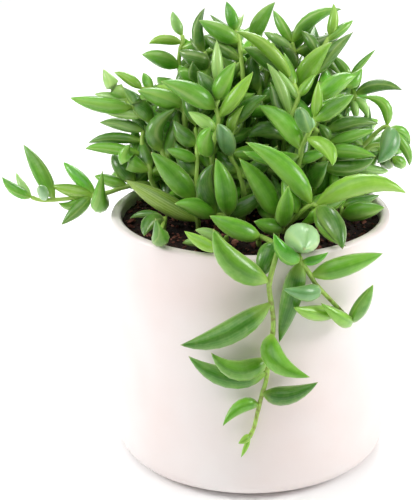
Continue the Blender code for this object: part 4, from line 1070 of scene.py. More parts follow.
def clear_window(tree, along, off_line, above):
    """The leaf's clear window: a dark line on its upper side, which fades out at both ends."""
    window = node(
        tree, "ShaderNodeMapRange",
        {"interpolation_type": "SMOOTHSTEP", "From Min": 0.3, "From Max": 0.0, "To Max": 0.45},
        {"Value": off_line},
    ).outputs[0]
    upper = node(
        tree, "ShaderNodeMapRange", {"From Min": 0.1, "From Max": 0.5}, {"Value": above}
    ).outputs[0]
    body = node(
        tree, "ShaderNodeMapRange",
        {"interpolation_type": "SMOOTHSTEP", "From Min": 0.97, "From Max": 0.72}, {"Value": along},
    ).outputs[0]
    for limit in (upper, body):
        window = node(
            tree, "ShaderNodeMath", {"operation": "MULTIPLY"}, {0: window, 1: limit}
        ).outputs[0]
    return window


def leaf_skin(settings):
    """Waxy succulent leaf: a grown skin with a satin bloom over juicy tissue.

    The wax makes wide soft highlights and a pale bloom where the skin turns away. A pale line on
    the margins and paler flanks are painted highlight and reflection, and the middle is painted
    darker; thin lines run lengthwise, a clearer dark line runs along the upper side, the stalk is
    lime, and the very point is dry and tan.
    """
    material, tree, shader, place = new_material(
        "waxy_succulent_leaf",
        {
            "Roughness": settings.leaf_roughness,
            "IOR": 1.46,
            "Coat Weight": 0.3,
            "Coat Roughness": 0.17,
            "Subsurface Weight": 0.1,
            "Subsurface Scale": 1.5 * MM,
            "Subsurface Radius": (0.5, 1.0, 0.15),
            "Sheen Weight": 0.35,
            "Sheen Roughness": 0.35,
            "Sheen Tint": (*linear(WAX_SHEEN), 1),
        },
    )
    own = node(tree, "ShaderNodeAttribute", {"attribute_name": "hue"}).outputs
    hue, striped = own["Color"], own["Alpha"]
    spot = node(tree, "ShaderNodeAttribute", {"attribute_name": "leaf_place"}).outputs["Vector"]
    along, across, above = node(tree, "ShaderNodeSeparateXYZ", links={0: spot}).outputs
    off_line = node(tree, "ShaderNodeMath", {"operation": "ABSOLUTE"}, {0: across}).outputs[0]
    mottle, cloud = [
        node(
            tree, "ShaderNodeTexNoise", {"Scale": 1 / (size * MM), "Detail": detail},
            {"Vector": place},
        ).outputs["Fac"]
        for size, detail in ((LEAF_MOTTLE, 3.0), (LEAF_CLOUD, 2.0))
    ]
    stripes = pinstripes(tree, across, above, cloud, striped)
    window = clear_window(tree, along, off_line, above)

    # Painted highlight on the margins, painted reflection on the flanks and a painted darker middle,
    # then mottling and clouds of deeper green
    # Painted highlight: a thin pale line along each leaf's edges
    margin = node(
        tree, "ShaderNodeMapRange",
        {"interpolation_type": "SMOOTHSTEP", "From Min": 0.9, "From Max": 1.0, "To Max": 0.7},
        {"Value": off_line},
    ).outputs[0]
    # The first two masks are painted: paler flanks and a darker middle stand for reflection that grows
    # towards the edges. The last two are the leaf's own mottling and clouds.
    painted_flank_reflection, painted_dark_middle, flecks, depth = [
        node(
            tree, "ShaderNodeMapRange", {"From Min": first, "From Max": last, "To Max": most},
            {"Value": source},
        ).outputs[0]
        for source, first, last, most in (
            (off_line, 0.35, 1.0, 0.22), (off_line, 0.6, 0.0, 0.35),
            (mottle, 0.45, 0.8, 0.3), (cloud, 0.58, 0.3, 0.55),
        )
    ]
    # The deeper tint: the leaf's own clouds and clear window, and the painted darker middle
    deep = node(
        tree, "ShaderNodeMix",
        {"data_type": "RGBA", "blend_type": "MULTIPLY", 0: 1.0, COLOUR_B: (*DEEPER, 1)},
        {COLOUR_A: hue},
    ).outputs[COLOUR_OUT]
    # The pale tint: the leaf's own flecks and pinstripes, and painted highlight and reflection on the
    # margins and flanks
    pale = node(
        tree, "ShaderNodeMix", {"data_type": "RGBA", 0: 0.45, COLOUR_B: (*linear(PALE_MARKS_AND_PAINTED_RIM), 1)},
        {COLOUR_A: hue},
    ).outputs[COLOUR_OUT]
    skin = hue
    for amount, tint in (
        (painted_dark_middle, deep), (depth, deep), (flecks, pale), (painted_flank_reflection, pale), (stripes, pale),
        (margin, pale), (window, deep),
    ):
        skin = node(
            tree, "ShaderNodeMix", {"data_type": "RGBA"},
            {0: amount, COLOUR_A: skin, COLOUR_B: tint},
        ).outputs[COLOUR_OUT]

    # The stalk and the dry point
    for first, last, most, tint in (
        (0.22, 0.02, 0.7, settings.stalk), (0.96, 1.0, 0.7, linear(DRY_POINT))
    ):
        amount = node(
            tree, "ShaderNodeMapRange", {"From Min": first, "From Max": last, "To Max": most},
            {"Value": along},
        ).outputs[0]
        skin = node(
            tree, "ShaderNodeMix", {"data_type": "RGBA", COLOUR_B: (*tint, 1)},
            {0: amount, COLOUR_A: skin},
        ).outputs[COLOUR_OUT]
    tree.links.new(skin, shader.inputs["Base Color"])
    relief = node(
        tree, "ShaderNodeMath", {"operation": "MULTIPLY_ADD", 1: 1.5}, {0: stripes, 2: mottle}
    ).outputs[0]
    bumps = node(
        tree, "ShaderNodeBump", {"Strength": 0.35, "Distance": LEAF_RELIEF * MM},
        {"Height": relief},
    )
    tree.links.new(bumps.outputs["Normal"], shader.inputs["Normal"])
    return material


def stem_skin(settings):
    """Young succulent stem: grown with a thin smooth skin, lime green, older and corky at its foot."""
    material, tree, shader, place = new_material(
        "green_stem",
        {
            "Roughness": 0.45,
            "IOR": 1.45,
            "Subsurface Weight": 0.15,
            "Subsurface Scale": 1.5 * MM,
            "Subsurface Radius": (0.6, 1.0, 0.3),
        },
    )
    patches = node(
        tree, "ShaderNodeTexNoise", {"Scale": 1 / (STEM_PATCH * MM), "Detail": 3.0}, {"Vector": place}
    ).outputs["Fac"]
    cork = node(tree, "ShaderNodeAttribute", {"attribute_name": "cork"}).outputs["Fac"]
    age = node(tree, "ShaderNodeAttribute", {"attribute_name": "age"}).outputs["Fac"]
    uneven = node(
        tree, "ShaderNodeMath", {"operation": "MULTIPLY_ADD", 1: 0.6}, {0: patches, 2: age}
    ).outputs[0]
    older = node(
        tree, "ShaderNodeMapRange", {"From Min": 0.6, "From Max": 1.3}, {"Value": uneven}
    ).outputs[0]
    skin = node(
        tree, "ShaderNodeMix",
        {
            "data_type": "RGBA",
            COLOUR_A: (*settings.stem, 1),
            COLOUR_B: (*settings.old_stem, 1),
        },
        {0: older},
    ).outputs[COLOUR_OUT]
    flaking = node(
        tree, "ShaderNodeMapRange", {"From Min": 0.42, "From Max": 0.62, "To Max": 0.8},
        {"Value": patches},
    ).outputs[0]
    corky = node(tree, "ShaderNodeMath", {"operation": "MULTIPLY"}, {0: cork, 1: flaking}).outputs[0]
    skin = node(
        tree, "ShaderNodeMix", {"data_type": "RGBA", COLOUR_B: (*linear(CORK), 1)},
        {0: corky, COLOUR_A: skin},
    ).outputs[COLOUR_OUT]
    tree.links.new(skin, shader.inputs["Base Color"])
    bumps = node(
        tree, "ShaderNodeBump", {"Strength": 0.5, "Distance": STEM_RELIEF * MM}, {"Height": patches}
    )
    tree.links.new(bumps.outputs["Normal"], shader.inputs["Normal"])
    return material


def compost_skin(settings):
    """Potting compost: matted peat fibre and grit, which give a dark, rough, uneven surface."""
    material, tree, shader, place = new_material("potting_compost", {"Roughness": 0.95, "IOR": 1.4})
    clods = node(
        tree, "ShaderNodeTexNoise",
        {"Scale": 1 / (CLOD_SIZE * MM), "Detail": 6.0, "Roughness": 0.7}, {"Vector": place},
    ).outputs["Fac"]
    grit = node(
        tree, "ShaderNodeTexVoronoi", {"Scale": 1 / (GRIT_SIZE * MM)}, {"Vector": place}
    ).outputs["Distance"]
    # The first mask lifts the raised clods out of the near-black painted shade in their hollows; the
    # second lays reddish fibre on their tops.
    out_of_painted_shade, fibrous = [
        node(
            tree, "ShaderNodeMapRange", {"From Min": first, "From Max": last}, {"Value": clods}
        ).outputs[0]
        for first, last in ((0.32, 0.5), (0.54, 0.7))
    ]
    skin = node(
        tree, "ShaderNodeMix",
        {
            "data_type": "RGBA",
            COLOUR_A: (*linear(PAINTED_PEAT_SHADE), 1),
            COLOUR_B: (*settings.compost, 1),
        },
        {0: out_of_painted_shade},
    ).outputs[COLOUR_OUT]
    skin = node(
        tree, "ShaderNodeMix", {"data_type": "RGBA", COLOUR_B: (*linear(PEAT_FIBRE), 1)},
        {0: fibrous, COLOUR_A: skin},
    ).outputs[COLOUR_OUT]
    tree.links.new(skin, shader.inputs["Base Color"])
    relief = node(
        tree, "ShaderNodeMath", {"operation": "MULTIPLY_ADD", 1: 0.5}, {0: grit, 2: clods}
    ).outputs[0]
    bumps = node(
        tree, "ShaderNodeBump", {"Strength": 0.9, "Distance": COMPOST_RELIEF * MM}, {"Height": relief}
    )
    tree.links.new(bumps.outputs["Normal"], shader.inputs["Normal"])
    return material


def bark_skin():
    """Composted bark: torn brown chips with a fibrous, dull surface."""
    material, tree, shader, place = new_material("composted_bark", {"Roughness": 0.9, "IOR": 1.4})
    hue = node(tree, "ShaderNodeAttribute", {"attribute_name": "hue"}).outputs["Color"]
    fibre = node(
        tree, "ShaderNodeTexNoise", {"Scale": 1 / (BARK_FIBRE * MM), "Detail": 4.0}, {"Vector": place}
    ).outputs["Fac"]
    # Painted shade: the hollows of the fibre's relief are darkened towards near black
    dark = node(
        tree, "ShaderNodeMapRange", {"From Min": 0.62, "From Max": 0.3, "To Max": 0.65},
        {"Value": fibre},
    ).outputs[0]
    skin = node(
        tree, "ShaderNodeMix", {"data_type": "RGBA", COLOUR_B: (*linear(PAINTED_BARK_SHADE), 1)},
        {0: dark, COLOUR_A: hue},
    ).outputs[COLOUR_OUT]
    tree.links.new(skin, shader.inputs["Base Color"])
    bumps = node(
        tree, "ShaderNodeBump", {"Strength": 0.8, "Distance": BARK_RELIEF * MM}, {"Height": fibre}
    )
    tree.links.new(bumps.outputs["Normal"], shader.inputs["Normal"])
    return material


def pot_glaze(settings):
    """Slip-cast earthenware with a satin white glaze: even, faintly pink, with soft wide highlights."""
    material, tree, shader, place = new_material(
        "satin_white_glaze",
        {
            "Roughness": settings.glaze_roughness,
            "IOR": 1.5,
            "Coat Weight": 0.1,
            "Coat Roughness": 0.35,
        },
    )
    pooling = node(
        tree, "ShaderNodeTexNoise", {"Scale": 1 / (GLAZE_POOLING * MM), "Detail": 3.0},
        {"Vector": place},
    ).outputs["Fac"]
    peel = node(
        tree, "ShaderNodeTexNoise", {"Scale": 1 / (GLAZE_PEEL * MM), "Detail": 2.0}, {"Vector": place}
    ).outputs["Fac"]
    thicker = node(
        tree, "ShaderNodeMapRange", {"From Min": 0.35, "From Max": 0.7}, {"Value": pooling}
    ).outputs[0]
    skin = node(
        tree, "ShaderNodeMix",
        {"data_type": "RGBA", COLOUR_A: (*settings.glaze, 1), COLOUR_B: (*linear(POOLED_GLAZE), 1)},
        {0: thicker},
    ).outputs[COLOUR_OUT]
    tree.links.new(skin, shader.inputs["Base Color"])
    bumps = node(
        tree, "ShaderNodeBump", {"Strength": 0.35, "Distance": GLAZE_RELIEF * MM}, {"Height": peel}
    )
    tree.links.new(bumps.outputs["Normal"], shader.inputs["Normal"])
    return material


def finished(name, shape, materials, slot, *replaced):
    """A finished piece from a bmesh: it rides on the part's body and replaces its plain solids."""
    mesh = bpy.data.meshes.new(name)
    shape.to_mesh(mesh)
    shape.free()
    for material in materials:
        mesh.materials.append(material)
    mesh.shade_smooth()
    piece = bpy.data.objects.new(name, mesh)
    bpy.context.scene.collection.objects.link(piece)
    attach(piece, "root")
    if replaced:
        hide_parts(*replaced)
    return piece


def drawn_out(shape, sides, stations):
    """A ball drawn out along stations of (centre, side, top, half-width, half-height)."""
    bands = len(stations) - 1
    made = bmesh.ops.create_uvsphere(shape, u_segments=sides, v_segments=bands, radius=1.0)
    placed = []
    for vertex in made["verts"]:
        band = round(bands * math.acos(max(-1.0, min(1.0, -vertex.co.z))) / math.pi)
        centre, side, top, width, height = stations[band]
        angle = math.atan2(vertex.co.y, vertex.co.x)
        offset = width * math.cos(angle) * side + height * math.sin(angle) * top
        vertex.co = Vector((centre + offset) * MM)
        placed.append((vertex, band, angle))
    return placed


def add_leaf(shape, layers, leaf, controls, hue, draw):
    """A fine leaf on the arc through its stalk, middle and point, its upper face turned up and out."""
    profile = HIDDEN_PROFILE if leaf["inner"] else FINE_PROFILE
    start, middle = controls[0], controls[1]
    thickness = LEAF_THICKNESS * draw.uniform(*THICKENING)
    lift = LOOKS_UP_ABOVE_RIM if start[2] > POT_HEIGHT else LOOKS_UP_BELOW_RIM
    stations = []
    for along, share in profile:
        centre = arc_weights(along) @ controls
        ahead = arc_weights(min(along + TANGENT_STEP, 1.0)) @ controls
        behind = arc_weights(max(along - TANGENT_STEP, 0.0)) @ controls
        tangent = (ahead - behind) / np.linalg.norm(ahead - behind)
        hint = np.array([centre[0], centre[1], 0.0])
        hint = hint / max(np.linalg.norm(hint), 1.0) + np.array([0.0, 0.0, lift])
        side = np.cross(hint, tangent)
        side /= max(np.linalg.norm(side), 1e-6)
        half = 0.5 * FULLNESS * leaf["width"] * share
        if along == 0:
            centre = start + STALK_SINK * (start - middle) / np.linalg.norm(start - middle)
        elif along < STALK_END:
            half = max(half, STALK_RADIUS)
        stations.append((centre, side, np.cross(tangent, side), half, half * thickness))
    place_layer, hue_layer, *_ = layers
    sides = max(FEWEST_SIDES, round(SIDES_TO_WIDTH * leaf["width"]))
    if leaf["inner"]:
        sides = HIDDEN_SIDES
    for vertex, band, angle in drawn_out(shape, sides, stations):
        vertex[place_layer] = (profile[band][0], math.cos(angle), math.sin(angle))
        vertex[hue_layer] = hue


def add_stem(shape, layers, controls, joints):
    """A fine stem with a slight swelling where each leaf stands."""
    count = len(controls)
    length = np.linalg.norm(np.diff(controls, axis=0), axis=1).sum()
    steps = round(length / FINE_STEM_STEP)
    places = np.linspace(0, count - 1, steps)
    points = np.array([curve_weights(count, place) @ controls for place in places])
    tangents = np.gradient(points, axis=0)
    tangents /= np.linalg.norm(tangents, axis=1)[:, None]
    side = np.cross(tangents[0], [0.0, 1.0, 0.0])
    stations, corks = [], []
    for index, (point, tangent) in enumerate(zip(points, tangents)):
        side = side - (side @ tangent) * tangent
        side /= np.linalg.norm(side)
        share = index / (steps - 1)
        radius = STEM_RADIUS + share * (STEM_TIP_RADIUS - STEM_RADIUS)
        nearest = min(np.linalg.norm(joint - point) for joint in joints)
        swelling = math.exp(-((nearest / NODE_LENGTH) ** 2))
        radius *= STEM_SLIMMING + NODE_SWELLING * swelling
        if index in (0, steps - 1):
            radius = 0.0
        stations.append((point, side, np.cross(tangent, side), radius, radius))
        low = max(0.0, 1 - (point[2] - SOIL_TOP) / CORKY_HEIGHT)
        corks.append(NODE_CORK * swelling + FOOT_CORK * low)
    cork_layer, age_layer = layers[2:]
    faces = len(shape.faces)
    for vertex, band, _ in drawn_out(shape, FINE_STEM_SIDES, stations):
        vertex[cork_layer] = min(1.0, max(0.0, corks[band]))
        vertex[age_layer] = 1 - band / (steps - 1)
    shape.faces.ensure_lookup_table()
    for face in shape.faces[faces:]:
        face.material_index = 1


def shaded_hue(settings, letter, draw):
    """A leaf's own colour: its hue, a little lighter or darker and yellower or bluer than the next.

    The fourth value is how clearly the leaf is striped.
    """
    base = np.array(getattr(settings, HUE_NAMES[letter]))
    tone = 1 + HUE_JITTER * draw.standard_normal()
    lean = 1 + 0.5 * HUE_JITTER * draw.standard_normal()
    colour = base * tone * np.array([lean, 1.0, 2 - lean])
    return (*np.clip(colour, 0, 1), STRIPINESS.get(letter, USUAL_STRIPINESS))


def thicket_leaf(draw, at, start):
    """A leaf that heads any way, but rather up than down."""
    heading = draw.standard_normal(3) + [0, 0, THICKET_RISE]
    reach = draw.uniform(*THICKET_LENGTH)
    width = draw.uniform(*THICKET_WIDTH)
    point = start + reach * heading / np.linalg.norm(heading)
    middle = 0.5 * (start + point) - [0, 0, LEAF_SAG * reach]
    return {"at": at, "middle": middle, "point": point, "width": width, "inner": True}


def meets_pot(line, thick):
    """Whether a leaf's centre line, so thick, dips into the soil or comes near the rim."""
    sunk = (line[:, 2] - thick).min() < SOIL_TOP + SOIL_MOUND
    outside = np.hypot(line[:, 0], line[:, 1]) > POT_RADIUS - WALL - RIM_MARGIN
    return sunk or (outside & (line[:, 2] < POT_HEIGHT + OVER_RIM)).any()


def thicket(plant, balls, radii):
    """More leaves on every stem above the pot, each turned to where there is most room for it.

    They stay behind the leaves that the eye sees and within the crown's outline.
    """
    draw = np.random.default_rng(THICKET_SEED)
    shown = np.concatenate(
        [seen_leaf(leaf, stem) for stem, leaves in plant for leaf in leaves if not leaf["inner"]]
    )
    along = np.linspace(THICKET_NEAREST_SAMPLE, 1, OUTLINE_SAMPLES)
    weights = np.array([arc_weights(place) for place in along])
    profile = np.interp(along, *np.array(INNER_LEAF_STATIONS).T)
    for stem, leaves in plant:
        length = np.linalg.norm(np.diff(stem[1:], axis=0), axis=1).sum()
        steps = max(2, round(length / THICKET_STEP))
        for place in np.linspace(THICKET_FIRST, len(stem) - THICKET_LAST, steps):
            at = curve_weights(len(stem), place)
            start = at @ stem
            if math.hypot(*start[:2]) > POT_RADIUS - WALL:
                continue
            best, best_room = None, -THICKET_OVERLAP
            for _ in range(THICKET_TRIES):
                leaf = thicket_leaf(draw, at, start)
                line = weights @ np.array([start, leaf["middle"], leaf["point"]])
                thick = np.maximum(0.5 * leaf["width"] * profile, THINNEST_SAMPLE)
                if meets_pot(line, thick) or not stays_behind(seen_leaf(leaf, stem), shown):
                    continue
                room = np.linalg.norm(line[:, None] - balls, axis=2) - thick[:, None] - radii
                room[along < THICKET_FOOT] += THICKET_FOOT_ROOM
                if room.min() > best_room:
                    best, best_room = (leaf, line, thick), room.min()
            if best is None:
                continue
            leaves.append(best[0])
            balls = np.concatenate([balls, best[1]])
            radii = np.concatenate([radii, best[2]])


def settled_plant(shoots, layout):
    """Each shoot's stem and leaves as they lie once bent clear of each other."""
    plant = []
    for name, shoot in shoots.items():
        used = layout.slots[name]
        count = len(shoot["stem"])
        leaves = []
        for number, leaf in enumerate(shoot["leaves"]):
            middle, point = layout.steer[used + count + 2 * number:][:2]
            leaves.append({**leaf, "middle": middle, "point": point})
        plant.append((layout.steer[used:used + count], leaves))
    return plant


def build_shoots(settings):
    """Each shoot as one piece, its stem and its leaves."""
    skins = [leaf_skin(settings), stem_skin(settings)]
    shoots = all_shoots()
    layout = Layout(shoots)
    layout.settle()
    plant = settled_plant(shoots, layout)
    thicket(plant, layout.rows @ layout.steer, layout.radii)
    draw = np.random.default_rng(SEED + 1)
    for name, (stem, leaves) in zip(shoots, plant):
        shape = bmesh.new()
        layers = (
            shape.verts.layers.float_vector.new("leaf_place"),
            shape.verts.layers.float_color.new("hue"),
            shape.verts.layers.float.new("cork"),
            shape.verts.layers.float.new("age"),
        )
        add_stem(shape, layers, stem, [leaf["at"] @ stem for leaf in leaves])
        hues = FRONT_HUES.get(name, "")
        for number, leaf in enumerate(leaves):
            letter = hues[number] if number < len(hues) else BACK_HUES[number % len(BACK_HUES)]
            arc = np.array([leaf["at"] @ stem, leaf["middle"], leaf["point"]])
            hue = shaded_hue(settings, letter, draw)
            add_leaf(shape, layers, leaf, arc, hue, draw)
        finished(f"fine_{name}", shape, skins, "leaf", name)


def rounded(centre_r, centre_z, radius, start, end, steps):
    """Points (r, z) on an arc, between two angles in degrees."""
    angles = [math.radians(start + (end - start) * i / steps) for i in range(steps + 1)]
    return [(centre_r + radius * math.cos(a), centre_z + radius * math.sin(a)) for a in angles]


def spun(shape, profile, segments):
    """Spins a profile (r, z) in millimetres into a closed solid."""
    points = [shape.verts.new((r * MM, 0, z * MM)) for r, z in profile]
    edges = [shape.edges.new(pair) for pair in zip(points, points[1:])]
    bmesh.ops.spin(
        shape, geom=points + edges, cent=(0, 0, 0), axis=(0, 0, 1), angle=2 * math.pi,
        steps=segments, use_merge=True,
    )
    bmesh.ops.remove_doubles(shape, verts=shape.verts, dist=1e-6)
    bmesh.ops.recalc_face_normals(shape, faces=shape.faces)


def build_pot(settings):
    """The pot, turned: a rounded lip, a straight wall, a rounded base and a drawn-in foot."""
    outer = POT_RADIUS - LIP_ROUNDING
    inner = POT_RADIUS - WALL + LIP_ROUNDING
    lip = POT_HEIGHT - LIP_ROUNDING
    floor = FOOT_HEIGHT + FLOOR_THICKNESS
    base = POT_RADIUS - BASE_ROUNDING
    profile = [
        (0, floor),
        (POT_RADIUS - WALL - BASE_ROUNDING, floor),
        (POT_RADIUS - WALL, floor + BASE_ROUNDING),
        *rounded(inner, lip, LIP_ROUNDING, 180, 90, 6),
        *rounded(outer, lip, LIP_ROUNDING, 90, 0, 6),
        *[(POT_RADIUS, z) for z in np.linspace(lip, FOOT_HEIGHT + BASE_ROUNDING, 12)[1:-1]],
        *rounded(base, FOOT_HEIGHT + BASE_ROUNDING, BASE_ROUNDING, 0, -90, 9),
        (FOOT_RADIUS, FOOT_HEIGHT),
        (FOOT_RADIUS, FOOT_CHAMFER),
        (FOOT_RADIUS - FOOT_CHAMFER, 0),
        (0, 0),
    ]
    shape = bmesh.new()
    spun(shape, profile, FINE_POT_SEGMENTS)
    pot = finished("glazed_pot", shape, [pot_glaze(settings)], "ceramic", "pot")
    pot.data.set_sharp_from_angle(angle=math.radians(POT_SHARP_ANGLE))


def compost_height(x, y):
    """The compost's surface at a place: the solid's mound with finer clods on it."""
    radial = math.hypot(x, y) / (POT_RADIUS - WALL)
    crumbs = math.sin(0.31 * x + 1.3) * math.cos(0.27 * y) + 0.6 * math.sin(0.53 * y - 0.4 * x)
    fade = max(0.0, 1 - radial**4)
    clods = noise.fractal(Vector((CLODS_PER_MM * x, CLODS_PER_MM * y, 3.0)), 0.6, 2.1, 4)
    return SOIL_TOP - SOIL_DIP + fade * (SOIL_MOUND + SOIL_GRIT * crumbs) + CLOD_HEIGHT * clods


def build_compost(settings):
    """The compost, filling the pot to just under its rim."""
    edge = POT_RADIUS - WALL - CLEARANCE
    floor = FOOT_HEIGHT + FLOOR_THICKNESS + CLEARANCE
    corner = BASE_ROUNDING + CLEARANCE
    rings = np.linspace(0, edge, round(edge / FINE_SOIL_STEP))
    profile = [(r, SOIL_TOP) for r in rings]
    profile += [(edge, floor + corner), (edge - corner, floor), (0, floor)]
    shape = bmesh.new()
    spun(shape, profile, FINE_SOIL_SEGMENTS)
    for vertex in shape.verts:
        if vertex.co.z > (SOIL_TOP - 1) * MM:
            vertex.co.z = compost_height(vertex.co.x / MM, vertex.co.y / MM) * MM
    finished("compost", shape, [compost_skin(settings)], "compost", "soil")


def build_bark(settings):
    """Bark chips and grit lying on the compost."""
    draw = np.random.default_rng(CRUMB_SEED)
    shape = bmesh.new()
    hue_layer = shape.verts.layers.float_color.new("hue")
    hues = [linear(hex_colour) for hex_colour in CRUMB_HUES]
    edge = POT_RADIUS - WALL - CRUMB_MARGIN
    for _ in range(settings.crumb_count):
        radial = edge * math.sqrt(draw.uniform())
        turn = draw.uniform(0, 2 * math.pi)
        x, y = radial * math.cos(turn), radial * math.sin(turn)
        size = settings.crumb_size / MM * draw.lognormal(0, CRUMB_SPREAD)
        scale = size * np.array([1.0, draw.uniform(*CRUMB_WIDTH), draw.uniform(*CRUMB_HEIGHT)])
        made = bmesh.ops.create_icosphere(shape, subdivisions=1, radius=0.5)
        spin = Vector(draw.standard_normal(3)).normalized()
        tilt = Vector((0, 0, 1)).rotation_difference(Vector((0, 0, 2)) + spin).to_matrix()
        heading = draw.uniform(0, 2 * math.pi)
        hue = (*hues[draw.integers(len(hues))], 1.0)
        level = compost_height(x, y) + CRUMB_SEAT * size
        for vertex in made["verts"]:
            jag = 1 + CRUMB_JAG * draw.standard_normal()
            local = np.array(vertex.co) * scale * jag
            flat = Vector((
                local[0] * math.cos(heading) - local[1] * math.sin(heading),
                local[0] * math.sin(heading) + local[1] * math.cos(heading),
                local[2],
            ))
            vertex.co = (tilt @ flat + Vector((x, y, level))) * MM
            vertex[hue_layer] = hue
    bark = finished("bark_crumbs", shape, [bark_skin()], "compost")
    bark.data.shade_flat()


def add_floor(settings):
    """A floor of matt white background paper."""
    shape = bmesh.new()
    bmesh.ops.create_grid(shape, x_segments=1, y_segments=1, size=FLOOR_REACH)
    mesh = bpy.data.meshes.new("floor")
    shape.to_mesh(mesh)
    shape.free()
    material, _, shader, _ = new_material("floor_paper", {"Roughness": 0.9, "IOR": 1.45})
    shader.inputs["Base Color"].default_value = (*settings.paper, 1)
    mesh.materials.append(material)
    floor = bpy.data.objects.new("floor", mesh)
    bpy.context.scene.collection.objects.link(floor)


def add_lights(settings, target):
    """Light from all round, a wide soft skylight and three softboxes."""
    world = bpy.data.worlds.new("studio")
    bpy.context.scene.world = world
    world.use_nodes = True
    background = world.node_tree.nodes["Background"]
    background.inputs["Color"].default_value = (1, 1, 1, 1)
    background.inputs["Strength"].default_value = settings.room_light
    sun = bpy.data.lights.new("skylight", "SUN")
    sun.energy = settings.skylight
    sun.angle = settings.skylight_softness
    lights = [(sun, SKYLIGHT_FROM)]
    for name, (place, width, share) in SOFTBOXES.items():
        softbox = bpy.data.lights.new(name, "AREA")
        softbox.energy = share * settings.softbox
        softbox.shape = "DISK"
        softbox.size = width
        lights.append((softbox, place))
    for data, place in lights:
        light = bpy.data.objects.new(data.name, data)
        light.location = place
        light.rotation_euler = (target - Vector(place)).to_track_quat("-Z", "Y").to_euler()
        bpy.context.scene.collection.objects.link(light)


def add_camera(settings, target):
    """The camera, at the eye that the front shoots are laid out for."""
    data = bpy.data.cameras.new("camera")
    data.lens = settings.lens
    data.sensor_width = SENSOR_WIDTH
    data.shift_x = settings.camera_shift
    data.clip_start = 0.01
    camera = bpy.data.objects.new("camera", data)
    to_eye = Vector((0, -math.cos(VIEW_ELEVATION), math.sin(VIEW_ELEVATION)))
    camera.location = target + to_eye * VIEW_DISTANCE * MM
    camera.rotation_euler = (-to_eye).to_track_quat("-Z", "Y").to_euler()
    bpy.context.scene.collection.objects.link(camera)
    bpy.context.scene.camera = camera


def build_stage(settings):
    """The floor, the lights and the camera, with plain colours."""
    bpy.context.scene.view_settings.view_transform = "Standard"
    target = Vector(VIEW_CENTRE) * MM
    add_floor(settings)
    add_lights(settings, target)
    add_camera(settings, target)


class PotSettings(bpy.types.PropertyGroup):
    glaze: colour("Glaze", "Colour of the glaze", "#ede6e4")
    glaze_roughness: FloatProperty(
        name="Glaze roughness", description="How dull the glaze is", default=0.42, min=0, max=1,
        subtype="FACTOR",
    )


class CompostSettings(bpy.types.PropertyGroup):
    compost: colour("Compost", "Colour of the compost", "#1d0f0b")
    crumb_count: IntProperty(
        name="Bark crumbs", description="How many bark crumbs lie on top", default=1500, min=0
    )
    crumb_size: FloatProperty(
        name="Crumb size", description="Typical length of a crumb", default=1.7 * MM, min=0,
        unit="LENGTH",
    )


class LeafSettings(bpy.types.PropertyGroup):
    dark: colour("Dark leaves", "Colour of the darkest leaves", "#417e12")
    middling: colour("Middling leaves", "Colour of most leaves", "#69ae24")
    strong: colour("Strong leaves", "Colour of the purest green leaves", "#5ab21c")
    lime: colour("Lime leaves", "Colour of the young lime leaves", "#8ec438")
    pale: colour("Pale leaves", "Colour of the leaves with a bloom", "#a0ce70")
    old: colour("Old leaves", "Colour of the yellowing leaves", "#8cac42")
    stalk: colour("Stalks", "Colour of the leaf stalks", "#a8cc54")
    stem: colour("Stems", "Colour of the stems", "#a8cc5c")
    old_stem: colour("Old stems", "Colour of the stems near the soil", "#7fa048")
    grey_green: colour("Grey-green leaves", "Colour of the grey-green leaves", "#6ba266")
    bloomed: colour("Bluish leaves", "Colour of the bluish leaves with bloom", "#a2d09c")
    leaf_roughness: FloatProperty(
        name="Leaf roughness", description="How dull the leaves' wax is", default=0.36, min=0,
        max=1, subtype="FACTOR",
    )


class StageSettings(bpy.types.PropertyGroup):
    paper: colour("Paper", "Colour of the floor", "#ffffff")
    room_light: FloatProperty(
        name="Room light", description="Strength of the light from all round", default=0.24, min=0
    )
    skylight: FloatProperty(
        name="Skylight", description="Strength of the soft light from above", default=1.4, min=0
    )
    skylight_softness: FloatProperty(
        name="Skylight softness", description="How wide the soft light is", subtype="ANGLE",
        default=math.radians(60), min=0,
    )
    softbox: FloatProperty(
        name="Softbox power", description="Power of the left softbox", default=3.7, min=0,
        unit="POWER",
    )
    lens: FloatProperty(
        name="Lens", description="Focal length in millimetres", default=90.0, min=1
    )
    camera_shift: FloatProperty(
        name="Shift", description="Sideways shift of the picture", default=-0.0884
    )


class BANANAS_OT_pot(bpy.types.Operator):
    """Adds the glazed pot"""

    bl_idname = "bananas.pot"
    bl_label = "Glazed Pot"

    def execute(self, context):
        build_pot(context.scene.bananas_pot)
        return {"FINISHED"}


class BANANAS_OT_compost(bpy.types.Operator):
    """Adds the compost"""

    bl_idname = "bananas.compost"
    bl_label = "Compost"

    def execute(self, context):
        build_compost(context.scene.bananas_compost)
        return {"FINISHED"}


class BANANAS_OT_bark(bpy.types.Operator):
    """Scatters bark crumbs on the compost"""

    bl_idname = "bananas.bark"
    bl_label = "Bark Crumbs"

    def execute(self, context):
        build_bark(context.scene.bananas_compost)
        return {"FINISHED"}


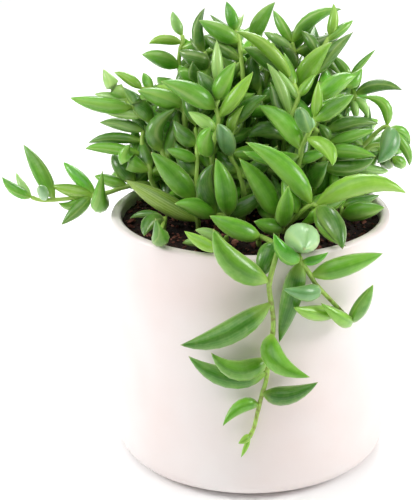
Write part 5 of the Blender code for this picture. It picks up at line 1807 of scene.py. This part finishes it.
class BANANAS_OT_shoots(bpy.types.Operator):
    """Adds every leafy shoot"""

    bl_idname = "bananas.shoots"
    bl_label = "Leafy Shoots"

    def execute(self, context):
        build_shoots(context.scene.bananas_leaf)
        return {"FINISHED"}


class BANANAS_OT_stage(bpy.types.Operator):
    """Adds the floor, the lights and the camera"""

    bl_idname = "bananas.stage"
    bl_label = "Stage"

    def execute(self, context):
        build_stage(context.scene.bananas_stage)
        return {"FINISHED"}


class BANANAS_PT_panel(bpy.types.Panel):
    """Lists the pieces and their settings"""

    bl_idname = "BANANAS_PT_panel"
    bl_label = "String of Bananas"
    bl_space_type = "VIEW_3D"
    bl_region_type = "UI"
    bl_category = "Bananas"

    def draw(self, context):
        for group, operators in PANEL_ROWS:
            column = self.layout.column()
            for operator in operators:
                column.operator(operator)
            settings = getattr(context.scene, group)
            for key in settings.bl_rna.properties.keys():
                if key not in ("rna_type", "name"):
                    column.prop(settings, key)


PANEL_ROWS = (
    ("bananas_pot", ("bananas.pot",)),
    ("bananas_compost", ("bananas.compost", "bananas.bark")),
    ("bananas_leaf", ("bananas.shoots",)),
    ("bananas_stage", ("bananas.stage",)),
)
SETTINGS = {
    "bananas_pot": PotSettings,
    "bananas_compost": CompostSettings,
    "bananas_leaf": LeafSettings,
    "bananas_stage": StageSettings,
}
CLASSES = (
    *SETTINGS.values(),
    BANANAS_OT_pot,
    BANANAS_OT_compost,
    BANANAS_OT_bark,
    BANANAS_OT_shoots,
    BANANAS_OT_stage,
    BANANAS_PT_panel,
)


def register():
    for cls in CLASSES:
        bpy.utils.register_class(cls)
    for name, group in SETTINGS.items():
        setattr(bpy.types.Scene, name, PointerProperty(type=group))


def unregister():
    for name in SETTINGS:
        delattr(bpy.types.Scene, name)
    for cls in reversed(CLASSES):
        bpy.utils.unregister_class(cls)


def main():
    register()
    bpy.ops.bananas.pot()
    bpy.ops.bananas.compost()
    bpy.ops.bananas.bark()
    bpy.ops.bananas.shoots()
    bpy.ops.bananas.stage()


if __name__ == "__main__":
    main()
